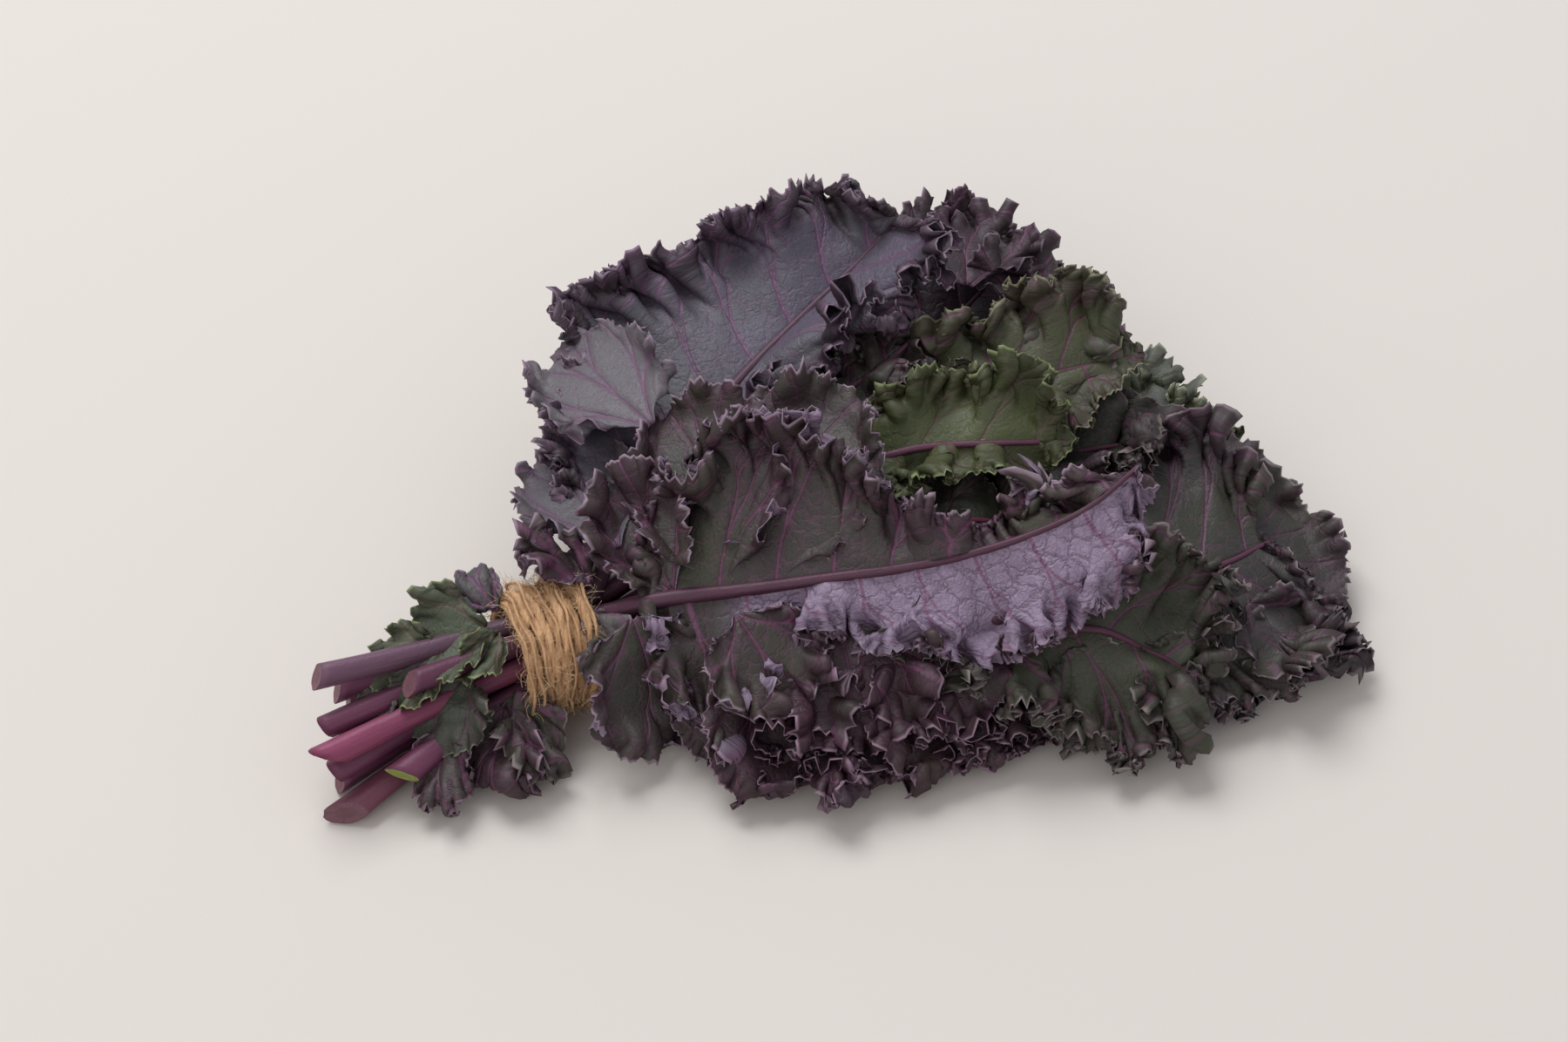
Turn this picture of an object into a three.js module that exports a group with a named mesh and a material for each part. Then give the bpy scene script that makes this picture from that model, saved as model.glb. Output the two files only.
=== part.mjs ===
// A tied bunch of curly kale lying on its side: twelve cut leaves, each one stem, rib and blade in a
// single piece, and the jute twine wound round their stems. Millimetres, +Z up, resting on z = 0.
// +X runs along the stems towards the leaf tips, and the origin is the middle of the footprint.
import * as THREE from "three";

// Driving dimensions
const TIE = { x: -118, y: -6, z: 22, width: 27 }; // middle of the twine binding, and its width along X
const TWINE = { diameter: 3, turns: 8, gap: 0.35, sides: 6, stepsPerTurn: 20 };
const STEM_RADIUS = 4.05; // where the stems pass through the twine
const STEM_RADII = [4.7, STEM_RADIUS, STEM_RADIUS, STEM_RADIUS, 3.2]; // from the cut end to the blade
const RIB_TIP_RADIUS = 0.9;
const BLADE_HALF_THICKNESS = 0.8; // the crisped blade is stood for by a plain sheet
const EDGE_HALF_THICKNESS = 0.5;
const BLADE_STATIONS = 15;
const STEM_STATIONS = 8;
const WAVE = { height: 5, length: 46 }; // the slow wave along a blade's edge
const CLEARANCE = 0.8; // between one leaf and the next above it
const TABLE_CELL = 2; // size of a square of the height map
const SETTLE_ROUNDS = 200;

// Where each stem sits in the binding, from the binding's middle, row by row from the table up.
const ROWS = [
  { up: -11.5, across: [-8.8, 0, 8.8] },
  { up: -3.6, across: [-13.2, -4.4, 4.4, 13.2] },
  { up: 4.3, across: [-8.8, 0, 8.8] },
  { up: 12.1, across: [-4.4, 4.4] },
];
const SLOTS = ROWS.flatMap((row) => row.across.map((y) => ({ y: TIE.y + y, z: TIE.z + row.up })));

const COLOURS = { plum: 0x3a2a36, maroon: 0x43303a, olive: 0x3f4a30, slate: 0x3b3d48, lavender: 0x6d5670 };
const TWINE_COLOUR = 0xb98a54;

// Each leaf, from the table up. cut is the stem's cut end and slant how far the cut leans back per
// millimetre across and up. rib is the midrib's way after the binding, and the blade starts at its
// first point. left and right are the blade's half widths at even steps along it, leftRise and
// rightRise how much each half climbs per millimetre outwards, and sweep how far each half leans
// towards the tip per millimetre outwards.
const LEAVES = [
  {
    name: "far_leaf",
    slot: 1,
    cut: [-203, -19, 5.2],
    slant: [0.3, 0.5],
    rib: [[-62, -6, 8], [0, -4, -1], [60, -2, -2], [120, -8, 3], [164, -18, 14]],
    left: [4, 26, 38, 42, 42, 34, 3],
    right: [4, 22, 32, 36, 36, 28, 3],
    leftRise: [0, 0, 0.05, 0.1, 0.2, 0.25],
    rightRise: [0, 0, 0, 0.05, 0.1, 0.2],
    sweep: [0.35, 0.35],
    colour: COLOURS.olive,
  },
  {
    name: "front_leaf",
    slot: 0,
    cut: [-206, -33, 5.2],
    slant: [-1.2, 0.8],
    rib: [[-80, -26, 11], [-40, -48, 6], [0, -62, 4], [34, -72, 4], [58, -78, 6]],
    left: [4, 16, 24, 28, 26, 20, 3],
    right: [4, 40, 46, 44, 42, 34, 4],
    leftRise: [0, 0.1, 0.2, 0.2],
    rightRise: [0, 0, -0.05, -0.05],
    sweep: [0.3, 0.05],
    colour: COLOURS.maroon,
  },
  {
    name: "back_leaf",
    slot: 2,
    cut: [-196, -6, 5.2],
    slant: [0.4, 0.2],
    rib: [[-62, 12, 12], [0, 42, 12], [50, 66, 16], [94, 82, 24], [124, 92, 38]],
    left: [4, 18, 26, 30, 34, 32, 4],
    right: [4, 24, 36, 46, 50, 40, 4],
    leftRise: [0, 0.1, 0.3, 0.6, 0.7],
    rightRise: [0, 0.1, 0.2, 0.3, 0.4],
    sweep: [0.35, 0.35],
    colour: COLOURS.plum,
  },
  {
    name: "right_leaf",
    slot: 4,
    cut: [-205, -22, 15.2],
    slant: [0.2, -0.5],
    rib: [[-62, -22, 20], [0, -46, 22], [50, -68, 28], [92, -80, 32], [130, -80, 28], [154, -75, 22]],
    left: [4, 18, 30, 48, 60, 48, 4],
    right: [4, 14, 24, 40, 52, 46, 4],
    leftRise: [0, 0.1, 0.2, 0.3, 0.3],
    rightRise: [0, -0.1, -0.3, -0.4, -0.4],
    sweep: [0.35, 0.35],
    colour: COLOURS.slate,
  },
  {
    name: "fold_leaf",
    slot: 3,
    cut: [-184, -33, 14.6],
    slant: [-0.8, -0.4],
    rib: [[-62, -34, 24], [-10, -58, 28], [32, -80, 34], [62, -94, 34], [78, -108, 20], [86, -118, 8]],
    left: [4, 14, 22, 32, 38, 32, 4],
    right: [4, 14, 26, 34, 34, 28, 4],
    leftRise: [0, 0.1, 0.2, 0.1, 0],
    rightRise: [0, -0.2, -0.5, -0.6, -0.3],
    sweep: [0.35, 0.2],
    colour: COLOURS.olive,
  },
  {
    name: "centre_leaf",
    slot: 5,
    cut: [-198, -8, 15.6],
    slant: [0.5, 0.1],
    rib: [[-56, -2, 24], [0, 0, 32], [50, -8, 38], [90, -18, 42], [116, -24, 42]],
    left: [4, 20, 30, 36, 36, 28, 4],
    right: [4, 16, 24, 28, 28, 22, 4],
    leftRise: [0, 0.2, 0.3, 0.3],
    rightRise: [0, 0.2, 0.3, 0.3],
    sweep: [0.35, 0.35],
    colour: COLOURS.slate,
  },
  {
    name: "arch_leaf",
    slot: 6,
    cut: [-190, 5, 16.4],
    slant: [0.3, 0.3],
    rib: [[-50, 16, 30], [0, 20, 40], [52, 12, 52], [92, 4, 62], [126, 0, 60]],
    left: [4, 12, 20, 28, 32, 28, 4],
    right: [4, 8, 14, 18, 18, 14, 3],
    leftRise: [0, 0.4, 0.6, 0.6],
    rightRise: [0, -0.5, -0.8, -0.6],
    sweep: [0.35, 0.35],
    colour: COLOURS.olive,
  },
  {
    name: "dark_leaf",
    slot: 7,
    cut: [-206, -22, 25.4],
    slant: [-0.3, -1.5],
    rib: [[-62, -17, 34], [-30, -20, 38], [0, -28, 42], [35, -36, 44], [58, -42, 44]],
    left: [4, 14, 20, 24, 24, 18, 3],
    right: [4, 12, 18, 20, 20, 15, 3],
    leftRise: [0, 0.1, 0.2, 0.2],
    rightRise: [0, 0.1, 0.1, 0.1],
    sweep: [0.35, 0.35],
    colour: COLOURS.olive,
  },
  {
    name: "green_leaf",
    slot: 8,
    cut: [-203, -10.5, 26.2],
    slant: [0.2, -0.6],
    rib: [[-56, -5, 38], [-10, 0, 50], [26, -6, 60], [55, -20, 64], [82, -28, 60]],
    left: [4, 10, 18, 24, 26, 22, 3],
    right: [4, 8, 12, 15, 15, 11, 3],
    leftRise: [0, 0.4, 0.6, 0.6],
    rightRise: [0, -0.5, -0.8, -0.6],
    sweep: [0.35, 0.35],
    colour: COLOURS.olive,
  },
  {
    name: "inner_leaf",
    slot: 9,
    cut: [-194, 2.5, 27.2],
    slant: [0.3, 0.4],
    rib: [[-60, 8, 40], [-30, 20, 47], [0, 28, 54], [30, 36, 58], [52, 40, 60]],
    left: [4, 14, 20, 22, 20, 15, 3],
    right: [4, 14, 20, 24, 22, 16, 3],
    leftRise: [0, 0.1, 0.2, 0.2],
    rightRise: [0, 0.1, 0.1, 0],
    sweep: [0.35, 0.35],
    colour: COLOURS.maroon,
  },
  {
    name: "upper_leaf",
    slot: 11,
    cut: [-201, 0, 41],
    slant: [0.2, 0.4],
    rib: [[-84, 12, 42], [-45, 38, 50], [-17, 54, 56], [25, 73, 64], [50, 82, 71], [66, 87, 80]],
    left: [4, 52, 50, 78, 72, 60, 52, 42, 36, 30, 22, 4],
    right: [4, 14, 20, 24, 28, 34, 38, 36, 26, 4],
    leftRise: [0, 0.05, 0.1, 0.12, 0.3, 0.4, 0.5, 0.5],
    rightRise: [0, 0, 0.2, 0.4, 0.5, 0.5, 0.4],
    sweep: [0.12, 0.35],
    colour: COLOURS.slate,
  },
  {
    name: "top_leaf",
    slot: 10,
    cut: [-172, -13.6, 37],
    slant: [0.2, 0.6],
    rib: [[-84, -18, 42], [-52, -32, 48], [-26, -44, 54], [11, -60, 62], [40, -67, 68], [64, -70, 76], [84, -68, 86]],
    left: [4, 48, 56, 56, 48, 22, 14, 16, 20, 20, 14, 3],
    right: [4, 46, 34, 16, 22, 26, 28, 30, 28, 20, 4],
    leftRise: [0.2, 0.5, 0.6, 0.6, 0.4, -0.6, -1, -1, -0.8],
    rightRise: [-0.5, -0.8, -0.8, -0.6, -0.9, -0.9, -0.9, -0.9, -0.7],
    sweep: [-0.2, -0.1],
    colour: COLOURS.lavender,
  },
];

// The value at share 0 to 1 along a list of evenly spaced values.
function along(values, share) {
  const at = THREE.MathUtils.clamp(share, 0, 1) * (values.length - 1);
  const low = Math.min(Math.floor(at), values.length - 2);
  return THREE.MathUtils.lerp(values[low], values[low + 1], at - low);
}

// The highest point so far over each square of the table, which is where the next leaf comes to rest.
class HeightMap {
  constructor(halfSize, cell) {
    this.cell = cell;
    this.half = halfSize;
    this.side = Math.ceil((2 * halfSize) / cell);
    this.top = new Float32Array(this.side * this.side);
  }

  index(value) {
    return THREE.MathUtils.clamp(Math.floor((value + this.half) / this.cell), 1, this.side - 2);
  }

  raise(point) {
    const at = this.index(point.y) * this.side + this.index(point.x);
    this.top[at] = Math.max(this.top[at], point.z);
  }

  // The highest point on a square and the eight round it.
  near(point) {
    const column = this.index(point.x);
    const row = this.index(point.y);
    let highest = 0;
    for (let r = row - 1; r <= row + 1; r++)
      for (let c = column - 1; c <= column + 1; c++)
        highest = Math.max(highest, this.top[r * this.side + c]);
    return highest;
  }
}

// Calls visit(point, weights) at points spread over a triangle no further apart than the spacing.
function overTriangle(corners, spacing, visit) {
  const [a, b, c] = corners;
  const steps = Math.ceil(Math.max(a.distanceTo(b), b.distanceTo(c), c.distanceTo(a)) / spacing);
  const point = new THREE.Vector3();
  for (let i = 0; i <= steps; i++)
    for (let j = 0; i + j <= steps; j++) {
      const weights = [i / steps, j / steps, 1 - (i + j) / steps];
      point.set(0, 0, 0);
      corners.forEach((corner, k) => point.addScaledVector(corner, weights[k]));
      visit(point, weights);
    }
}

// The offsets across and the half thicknesses of a section: an oval on the stem, which opens into a
// sheet with a thick rib on the blade. left and right are the half widths, and open runs from 0 to 1.
const STEM_ANGLES = [168, 148, 128, 108, 90, 72, 52, 32, 12].map(THREE.MathUtils.degToRad);
const MIDDLE = (STEM_ANGLES.length - 1) / 2;
const BLADE_SHARES = [1, 0.68, 0.36];
function section(radius, left, right, open) {
  const half = (width) => BLADE_SHARES.map((share, i) => Math.max(share * width, (2.4 - 0.4 * i) * radius));
  const across = [...half(left).map((x) => -x), -radius, 0, radius, ...half(right).reverse()];
  const sheet = [EDGE_HALF_THICKNESS, BLADE_HALF_THICKNESS, BLADE_HALF_THICKNESS];
  const thick = [...sheet, BLADE_HALF_THICKNESS * 1.2, radius, BLADE_HALF_THICKNESS * 1.2, ...sheet.toReversed()];
  return STEM_ANGLES.map((angle, i) => ({
    across: THREE.MathUtils.lerp(radius * Math.cos(angle), across[i], open),
    thick: THREE.MathUtils.lerp(radius * Math.sin(angle), thick[i], open),
    outer: Math.abs(i - MIDDLE) / MIDDLE,
  }));
}

// The stations of a leaf: stem stations from the cut to the blade, then blade stations to the tip.
function stationsOf(leaf) {
  const slot = SLOTS[leaf.slot];
  const reach = TIE.width / 2 + 3;
  const stem = [
    new THREE.Vector3(...leaf.cut),
    ...[-reach, 0, reach].map((x) => new THREE.Vector3(TIE.x + x, slot.y, slot.z)),
  ];
  const points = [...stem, ...leaf.rib.map((p) => new THREE.Vector3(...p))];
  const curve = new THREE.CatmullRomCurve3(points, false, "chordal");
  const bladeFrom = stem.length / (points.length - 1);
  const shares = [
    ...Array.from({ length: STEM_STATIONS }, (_, i) => (bladeFrom * i) / STEM_STATIONS),
    ...Array.from({ length: BLADE_STATIONS }, (_, i) => bladeFrom + ((1 - bladeFrom) * i) / (BLADE_STATIONS - 1)),
  ];
  return shares.map((share, i) => {
    const blade = Math.max(0, (share - bladeFrom) / (1 - bladeFrom));
    return { point: curve.getPoint(share), tangent: curve.getTangent(share), blade, onBlade: i >= STEM_STATIONS };
  });
}

// The columns of a leaf before it settles: for each station, its sections' top and bottom points.
function columnsOf(leaf) {
  const stations = stationsOf(leaf);
  let walked = 0;
  return stations.map(({ point, tangent, blade, onBlade }, row) => {
    if (row > 0) walked += point.distanceTo(stations[row - 1].point);
    const forward = new THREE.Vector2(tangent.x, tangent.y).normalize();
    const radius = onBlade
      ? THREE.MathUtils.lerp(STEM_RADII.at(-1), RIB_TIP_RADIUS, blade)
      : along(STEM_RADII, row / STEM_STATIONS);
    const left = along(leaf.left, blade);
    const right = along(leaf.right, blade);
    const wave = WAVE.height * Math.sin((2 * Math.PI * walked) / WAVE.length + leaf.slot);
    return section(radius, left, right, onBlade ? 1 : 0).map(({ across, thick, outer }) => {
      const out = Math.abs(across);
      const rise = onBlade ? along(across < 0 ? leaf.leftRise : leaf.rightRise, blade) * out : 0;
      const lean = onBlade ? leaf.sweep[across < 0 ? 0 : 1] * Math.max(0, out - radius) : 0;
      const x = point.x + forward.y * across + forward.x * lean;
      const y = point.y - forward.x * across + forward.y * lean;
      const ripple = onBlade ? wave * outer ** 2 * (across < 0 ? 1 : -1) : 0;
      const z = point.z + rise + ripple;
      return { top: new THREE.Vector3(x, y, z + thick), bottom: new THREE.Vector3(x, y, z - thick), free: onBlade };
    });
  });
}

// The triangles of one face of a leaf, each as three [station, column] pairs.
function faceTriangles(columns) {
  const found = [];
  for (let r = 0; r < columns.length - 1; r++)
    for (let c = 0; c < columns[r].length - 1; c++)
      found.push([[r, c], [r, c + 1], [r + 1, c + 1]], [[r, c], [r + 1, c + 1], [r + 1, c]]);
  return found;
}

// Lifts the blade's columns until its underside is clear of everything beneath it.
function settle(columns, heights) {
  const triangles = faceTriangles(columns).map((triangle) => triangle.map(([r, c]) => columns[r][c]));
  const open = triangles.filter((cells) => cells.some((cell) => cell.free));
  const shortfall = (point) => {
    const floor = heights.near(point);
    return floor + (floor > 0 ? CLEARANCE : 0) - point.z;
  };
  const lift = (column, by) => {
    column.top.z += by;
    column.bottom.z += by;
  };
  for (const column of columns.flat()) if (column.free) lift(column, Math.max(0, shortfall(column.bottom)));
  for (let round = 0; round < SETTLE_ROUNDS; round++) {
    let moved = false;
    for (const cells of open)
      overTriangle(cells.map((cell) => cell.bottom), heights.cell, (point, weights) => {
        const short = shortfall(point);
        const grip = cells.reduce((sum, cell, k) => sum + (cell.free ? weights[k] ** 2 : 0), 0);
        if (short < 0.01 || grip < 0.2) return;
        moved = true;
        cells.forEach((cell, k) => cell.free && lift(cell, (short * weights[k]) / grip));
      });
    if (!moved) return;
  }
}

// One closed surface: the top face, the underside and the wall between them all the way round.
function closedGeometry(columns) {
  const count = columns[0].length;
  const flat = columns.flat();
  const under = flat.length;
  const faces = [];
  for (const triangle of faceTriangles(columns)) {
    const [a, b, c] = triangle.map(([row, column]) => row * count + column);
    faces.push(a, b, c, a + under, c + under, b + under);
  }
  const last = under - count;
  const rows = columns.map((_, row) => row * count);
  const rim = [
    ...columns[0].keys(),
    ...rows.slice(1).map((start) => start + count - 1),
    ...[...columns[0].keys()].reverse().slice(1).map((column) => last + column),
    ...rows.slice(1, -1).reverse(),
  ];
  rim.forEach((a, i) => {
    const b = rim[(i + 1) % rim.length];
    faces.push(b, a, a + under, b, a + under, b + under);
  });
  const geometry = new THREE.BufferGeometry();
  geometry.setFromPoints([...flat.map((c) => c.top), ...flat.map((c) => c.bottom)]);
  geometry.setIndex(faces);
  geometry.computeVertexNormals();
  return geometry;
}

// Leans the first section back, so that the stem ends in a slanting cut.
function slantCut(columns, [perAcross, perUp]) {
  const centre = columns[0][MIDDLE].top.clone().add(columns[0][MIDDLE].bottom).divideScalar(2);
  for (const column of columns[0])
    for (const point of [column.top, column.bottom])
      point.x += perAcross * (point.y - centre.y) + perUp * (point.z - centre.z);
}

function makeLeaf(leaf, heights) {
  const columns = columnsOf(leaf);
  settle(columns, heights);
  for (const triangle of faceTriangles(columns))
    overTriangle(triangle.map(([r, c]) => columns[r][c].top), heights.cell / 2, (point) => heights.raise(point));
  slantCut(columns, leaf.slant);
  const material = new THREE.MeshStandardMaterial({ color: leaf.colour, roughness: 0.62, metalness: 0 });
  const mesh = new THREE.Mesh(closedGeometry(columns), material);
  mesh.name = leaf.name;
  return mesh;
}

// The twine as one helix that lies turn beside turn round the stems.
function makeTwine() {
  const outermost = Math.max(...SLOTS.map((s) => Math.hypot(s.y - TIE.y, s.z - TIE.z)));
  const radius = outermost + STEM_RADIUS + TWINE.gap + TWINE.diameter / 2;
  const pitch = TWINE.diameter + TWINE.gap;
  class Winding extends THREE.Curve {
    getPoint(share, target = new THREE.Vector3()) {
      const turned = share * TWINE.turns;
      const angle = 2 * Math.PI * turned;
      const x = TIE.x + (turned - TWINE.turns / 2) * pitch;
      return target.set(x, TIE.y + radius * Math.cos(angle), TIE.z + radius * Math.sin(angle));
    }
  }
  const outline = new THREE.Shape();
  for (let i = 0; i < TWINE.sides; i++) {
    const angle = (2 * Math.PI * i) / TWINE.sides;
    const [x, y] = [(TWINE.diameter / 2) * Math.cos(angle), (TWINE.diameter / 2) * Math.sin(angle)];
    if (i === 0) outline.moveTo(x, y);
    else outline.lineTo(x, y);
  }
  const steps = TWINE.turns * TWINE.stepsPerTurn;
  const geometry = new THREE.ExtrudeGeometry(outline, { steps, extrudePath: new Winding(), bevelEnabled: false });
  const material = new THREE.MeshStandardMaterial({ color: TWINE_COLOUR, roughness: 0.9, metalness: 0 });
  const mesh = new THREE.Mesh(geometry, material);
  mesh.name = "twine_binding";
  return mesh;
}

const bunch = new THREE.Group();
const heights = new HeightMap(260, TABLE_CELL);
for (const leaf of LEAVES) bunch.add(makeLeaf(leaf, heights));
bunch.add(makeTwine());

// The origin is the middle of the footprint, on the table.
const box = new THREE.Box3().setFromObject(bunch, true);
bunch.position.set(-(box.min.x + box.max.x) / 2, -(box.min.y + box.max.y) / 2, -box.min.z);

export default bunch;
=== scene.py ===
"""A bunch of purple curly kale tied with jute twine, lying on a pale table.

Sizes are in millimetres in this file's tables and become metres when a mesh is made. The leaves are
laid out in the bunch's own measure, whose zero is the table under the middle of the leaves, and
BENCH carries that measure into the frame's.
"""

import math

import bpy
import numpy as np
from mathutils import Matrix, Vector
from mathutils.bvhtree import BVHTree


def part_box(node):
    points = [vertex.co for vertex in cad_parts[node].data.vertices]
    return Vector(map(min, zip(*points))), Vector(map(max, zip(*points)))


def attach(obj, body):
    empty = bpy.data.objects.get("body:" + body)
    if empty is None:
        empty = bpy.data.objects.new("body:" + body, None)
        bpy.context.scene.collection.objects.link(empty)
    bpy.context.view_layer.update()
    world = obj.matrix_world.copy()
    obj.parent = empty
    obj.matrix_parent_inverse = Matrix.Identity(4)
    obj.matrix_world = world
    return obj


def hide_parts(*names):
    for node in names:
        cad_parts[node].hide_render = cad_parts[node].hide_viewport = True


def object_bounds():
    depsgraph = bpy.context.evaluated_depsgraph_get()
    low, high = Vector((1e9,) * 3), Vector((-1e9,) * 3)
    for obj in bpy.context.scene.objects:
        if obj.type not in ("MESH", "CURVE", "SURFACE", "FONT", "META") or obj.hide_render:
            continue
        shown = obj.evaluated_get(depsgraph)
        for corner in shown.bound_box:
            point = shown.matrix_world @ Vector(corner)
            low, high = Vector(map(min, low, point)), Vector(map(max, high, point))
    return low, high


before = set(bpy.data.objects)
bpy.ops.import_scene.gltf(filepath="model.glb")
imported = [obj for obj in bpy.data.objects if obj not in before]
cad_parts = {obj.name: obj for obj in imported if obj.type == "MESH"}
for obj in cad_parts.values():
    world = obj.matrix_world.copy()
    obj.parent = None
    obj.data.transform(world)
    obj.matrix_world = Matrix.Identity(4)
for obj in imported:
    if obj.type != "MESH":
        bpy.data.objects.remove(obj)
CAD_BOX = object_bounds()

bl_info = {
    "name": "Tied bunch of curly kale",
    "version": (1, 0, 0),
    "blender": (4, 5, 0),
    "location": "3D View > Sidebar > Kale",
    "description": "Grows the leaves, winds the twine and sets the table of a bunch of curly kale",
    "category": "Add Mesh",
}

MM = 0.001
BODY = "root"

# ---------------------------------------------------------------- the bunch's layout

TIE = np.array([-118.0, -6.0, 22.0])  # middle of the twine binding
TIE_REACH = 16.5  # half the length of stem that the binding holds straight
STEM_RADII = [4.35, 4.05, 4.05, 4.05, 3.2]  # from the cut end to the start of the blade
RIB_TIP_RADIUS = 0.9
STEM_SIDES = 20
STEM_STATIONS = 8
BLADE_STATIONS = 15
ROWS = {-11.5: (-8.8, 0, 8.8), -3.6: (-13.2, -4.4, 4.4, 13.2), 4.3: (-8.8, 0, 8.8), 12.1: (-4.4, 4.4)}
SLOTS = [(TIE[1] + across, TIE[2] + up) for up, row in ROWS.items() for across in row]
SHARES_OUT = (0.36, 0.68, 1.0)  # where a blade's sections are held, from the rib to the margin

LEAVES = {
    "far_leaf": {
        "slot": 1, "cut": (-203, -19, 5.2), "slant": (0.3, 0.5),
        "rib": [(-62, -6, 8), (0, -4, -1), (60, -2, -2), (120, -8, 3), (164, -18, 14)],
        "left": (4, 26, 38, 42, 42, 34, 3), "right": (4, 22, 32, 36, 36, 28, 3),
    },
    "front_leaf": {
        "slot": 0, "cut": (-206, -33, 5.2), "slant": (-1.2, 0.8), "sweep": (0.3, 0.05),
        "rib": [(-80, -26, 11), (-40, -48, 6), (0, -62, 4), (34, -72, 4), (58, -78, 6)],
        "left": (4, 16, 24, 28, 26, 20, 3), "right": (4, 40, 46, 44, 42, 34, 4),
    },
    "back_leaf": {
        "slot": 2, "cut": (-196, -6, 5.2), "slant": (0.4, 0.2),
        "rib": [(-62, 12, 12), (0, 42, 12), (50, 66, 16), (94, 82, 24), (124, 92, 38)],
        "left": (4, 18, 26, 30, 34, 32, 4), "right": (4, 24, 36, 46, 50, 40, 4),
    },
    "right_leaf": {
        "slot": 4, "cut": (-205, -22, 15.2), "slant": (0.2, -0.5),
        "rib": [(-62, -22, 20), (0, -46, 22), (50, -68, 28), (92, -80, 32), (130, -80, 28), (154, -75, 22)],
        "left": (4, 18, 30, 48, 60, 48, 4), "right": (4, 14, 24, 40, 52, 46, 4),
    },
    "fold_leaf": {
        "slot": 3, "cut": (-184, -33, 14.6), "slant": (-0.8, -0.4), "sweep": (0.35, 0.2),
        "rib": [(-62, -34, 24), (-10, -58, 28), (32, -80, 34), (62, -94, 34), (78, -108, 20), (86, -118, 8)],
        "left": (4, 14, 22, 32, 38, 32, 4), "right": (4, 14, 26, 34, 34, 28, 4),
    },
    "centre_leaf": {
        "slot": 5, "cut": (-198, -8, 15.6), "slant": (0.5, 0.1),
        "rib": [(-56, -2, 24), (0, 0, 32), (50, -8, 38), (90, -18, 42), (116, -24, 42)],
        "left": (4, 20, 30, 36, 36, 28, 4), "right": (4, 16, 24, 28, 28, 22, 4),
    },
    "arch_leaf": {
        "slot": 6, "cut": (-190, 5, 16.4), "slant": (0.3, 0.3),
        "rib": [(-50, 16, 30), (0, 20, 40), (52, 12, 52), (92, 4, 62), (126, 0, 60)],
        "left": (4, 12, 20, 28, 32, 28, 4), "right": (4, 8, 14, 18, 18, 14, 3),
    },
    "dark_leaf": {
        "slot": 7, "cut": (-206, -22, 25.4), "slant": (-0.3, -1.5),
        "rib": [(-62, -17, 34), (-30, -20, 38), (0, -28, 42), (35, -36, 44), (58, -42, 44)],
        "left": (4, 14, 20, 24, 24, 18, 3), "right": (4, 12, 18, 20, 20, 15, 3),
    },
    "green_leaf": {
        "slot": 8, "cut": (-203, -10.5, 26.2), "slant": (0.2, -0.6),
        "rib": [(-56, -5, 38), (-10, 0, 50), (26, -6, 60), (55, -20, 64), (82, -28, 60)],
        "left": (4, 10, 18, 24, 26, 22, 3), "right": (4, 8, 12, 15, 15, 11, 3),
    },
    "inner_leaf": {
        "slot": 9, "cut": (-194, 2.5, 27.2), "slant": (0.3, 0.4),
        "rib": [(-60, 8, 40), (-30, 20, 47), (0, 28, 54), (30, 36, 58), (52, 40, 60)],
        "left": (4, 14, 20, 22, 20, 15, 3), "right": (4, 14, 20, 24, 22, 16, 3),
    },
    "upper_leaf": {
        "slot": 11, "cut": (-201, 0, 41), "slant": (0.2, 0.4), "sweep": (0.12, 0.35),
        "rib": [(-84, 12, 42), (-45, 38, 50), (-17, 54, 56), (25, 73, 64), (50, 82, 71), (66, 87, 80)],
        "left": (4, 52, 50, 78, 72, 60, 52, 42, 36, 30, 22, 4),
        "right": (4, 14, 20, 24, 28, 34, 38, 36, 26, 4),
    },
    "top_leaf": {
        "slot": 10, "cut": (-172, -13.6, 37), "slant": (0.2, 0.6), "sweep": (-0.2, -0.1),
        "rib": [(-84, -18, 42), (-52, -32, 48), (-26, -44, 54), (11, -60, 62), (40, -67, 68),
                (64, -70, 76), (84, -68, 86)],
        "left": (4, 48, 56, 56, 48, 22, 14, 16, 20, 20, 14, 3),
        "right": (4, 46, 34, 16, 22, 26, 28, 30, 28, 20, 4),
    },
}

# ---------------------------------------------------------------- numbers along a line


def along(values, share):
    """The value at share 0 to 1 of a list of evenly spaced values."""
    return np.interp(np.clip(share, 0, 1) * (len(values) - 1), range(len(values)), values)


def smooth_step(low, high, value):
    share = np.clip((value - low) / (high - low), 0, 1)
    return share * share * (3 - 2 * share)


def unit(vectors):
    return vectors / np.maximum(np.linalg.norm(vectors, axis=-1, keepdims=True), 1e-9)


def walked(points):
    """How far each point is along the line through them."""
    steps = np.linalg.norm(np.diff(points, axis=0), axis=-1)
    return np.concatenate([[0], np.cumsum(steps)])


def through(knots, values, at):
    """A smooth curve through values at knots, read at the places in at."""
    knots, values, at = np.asarray(knots, float), np.asarray(values, float), np.asarray(at, float)
    slopes = np.gradient(values, knots, axis=0)
    low = np.clip(np.searchsorted(knots, at, side="right") - 1, 0, len(knots) - 2)
    span = knots[low + 1] - knots[low]
    part = (at - knots[low]) / span
    shape = (-1,) + (1,) * (values.ndim - 1)
    part, span = part.reshape(shape), span.reshape(shape)
    square, cube = part**2, part**3
    return (
        (2 * cube - 3 * square + 1) * values[low]
        + (cube - 2 * square + part) * span * slopes[low]
        + (3 * square - 2 * cube) * values[low + 1]
        + (cube - square) * span * slopes[low + 1]
    )


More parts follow.
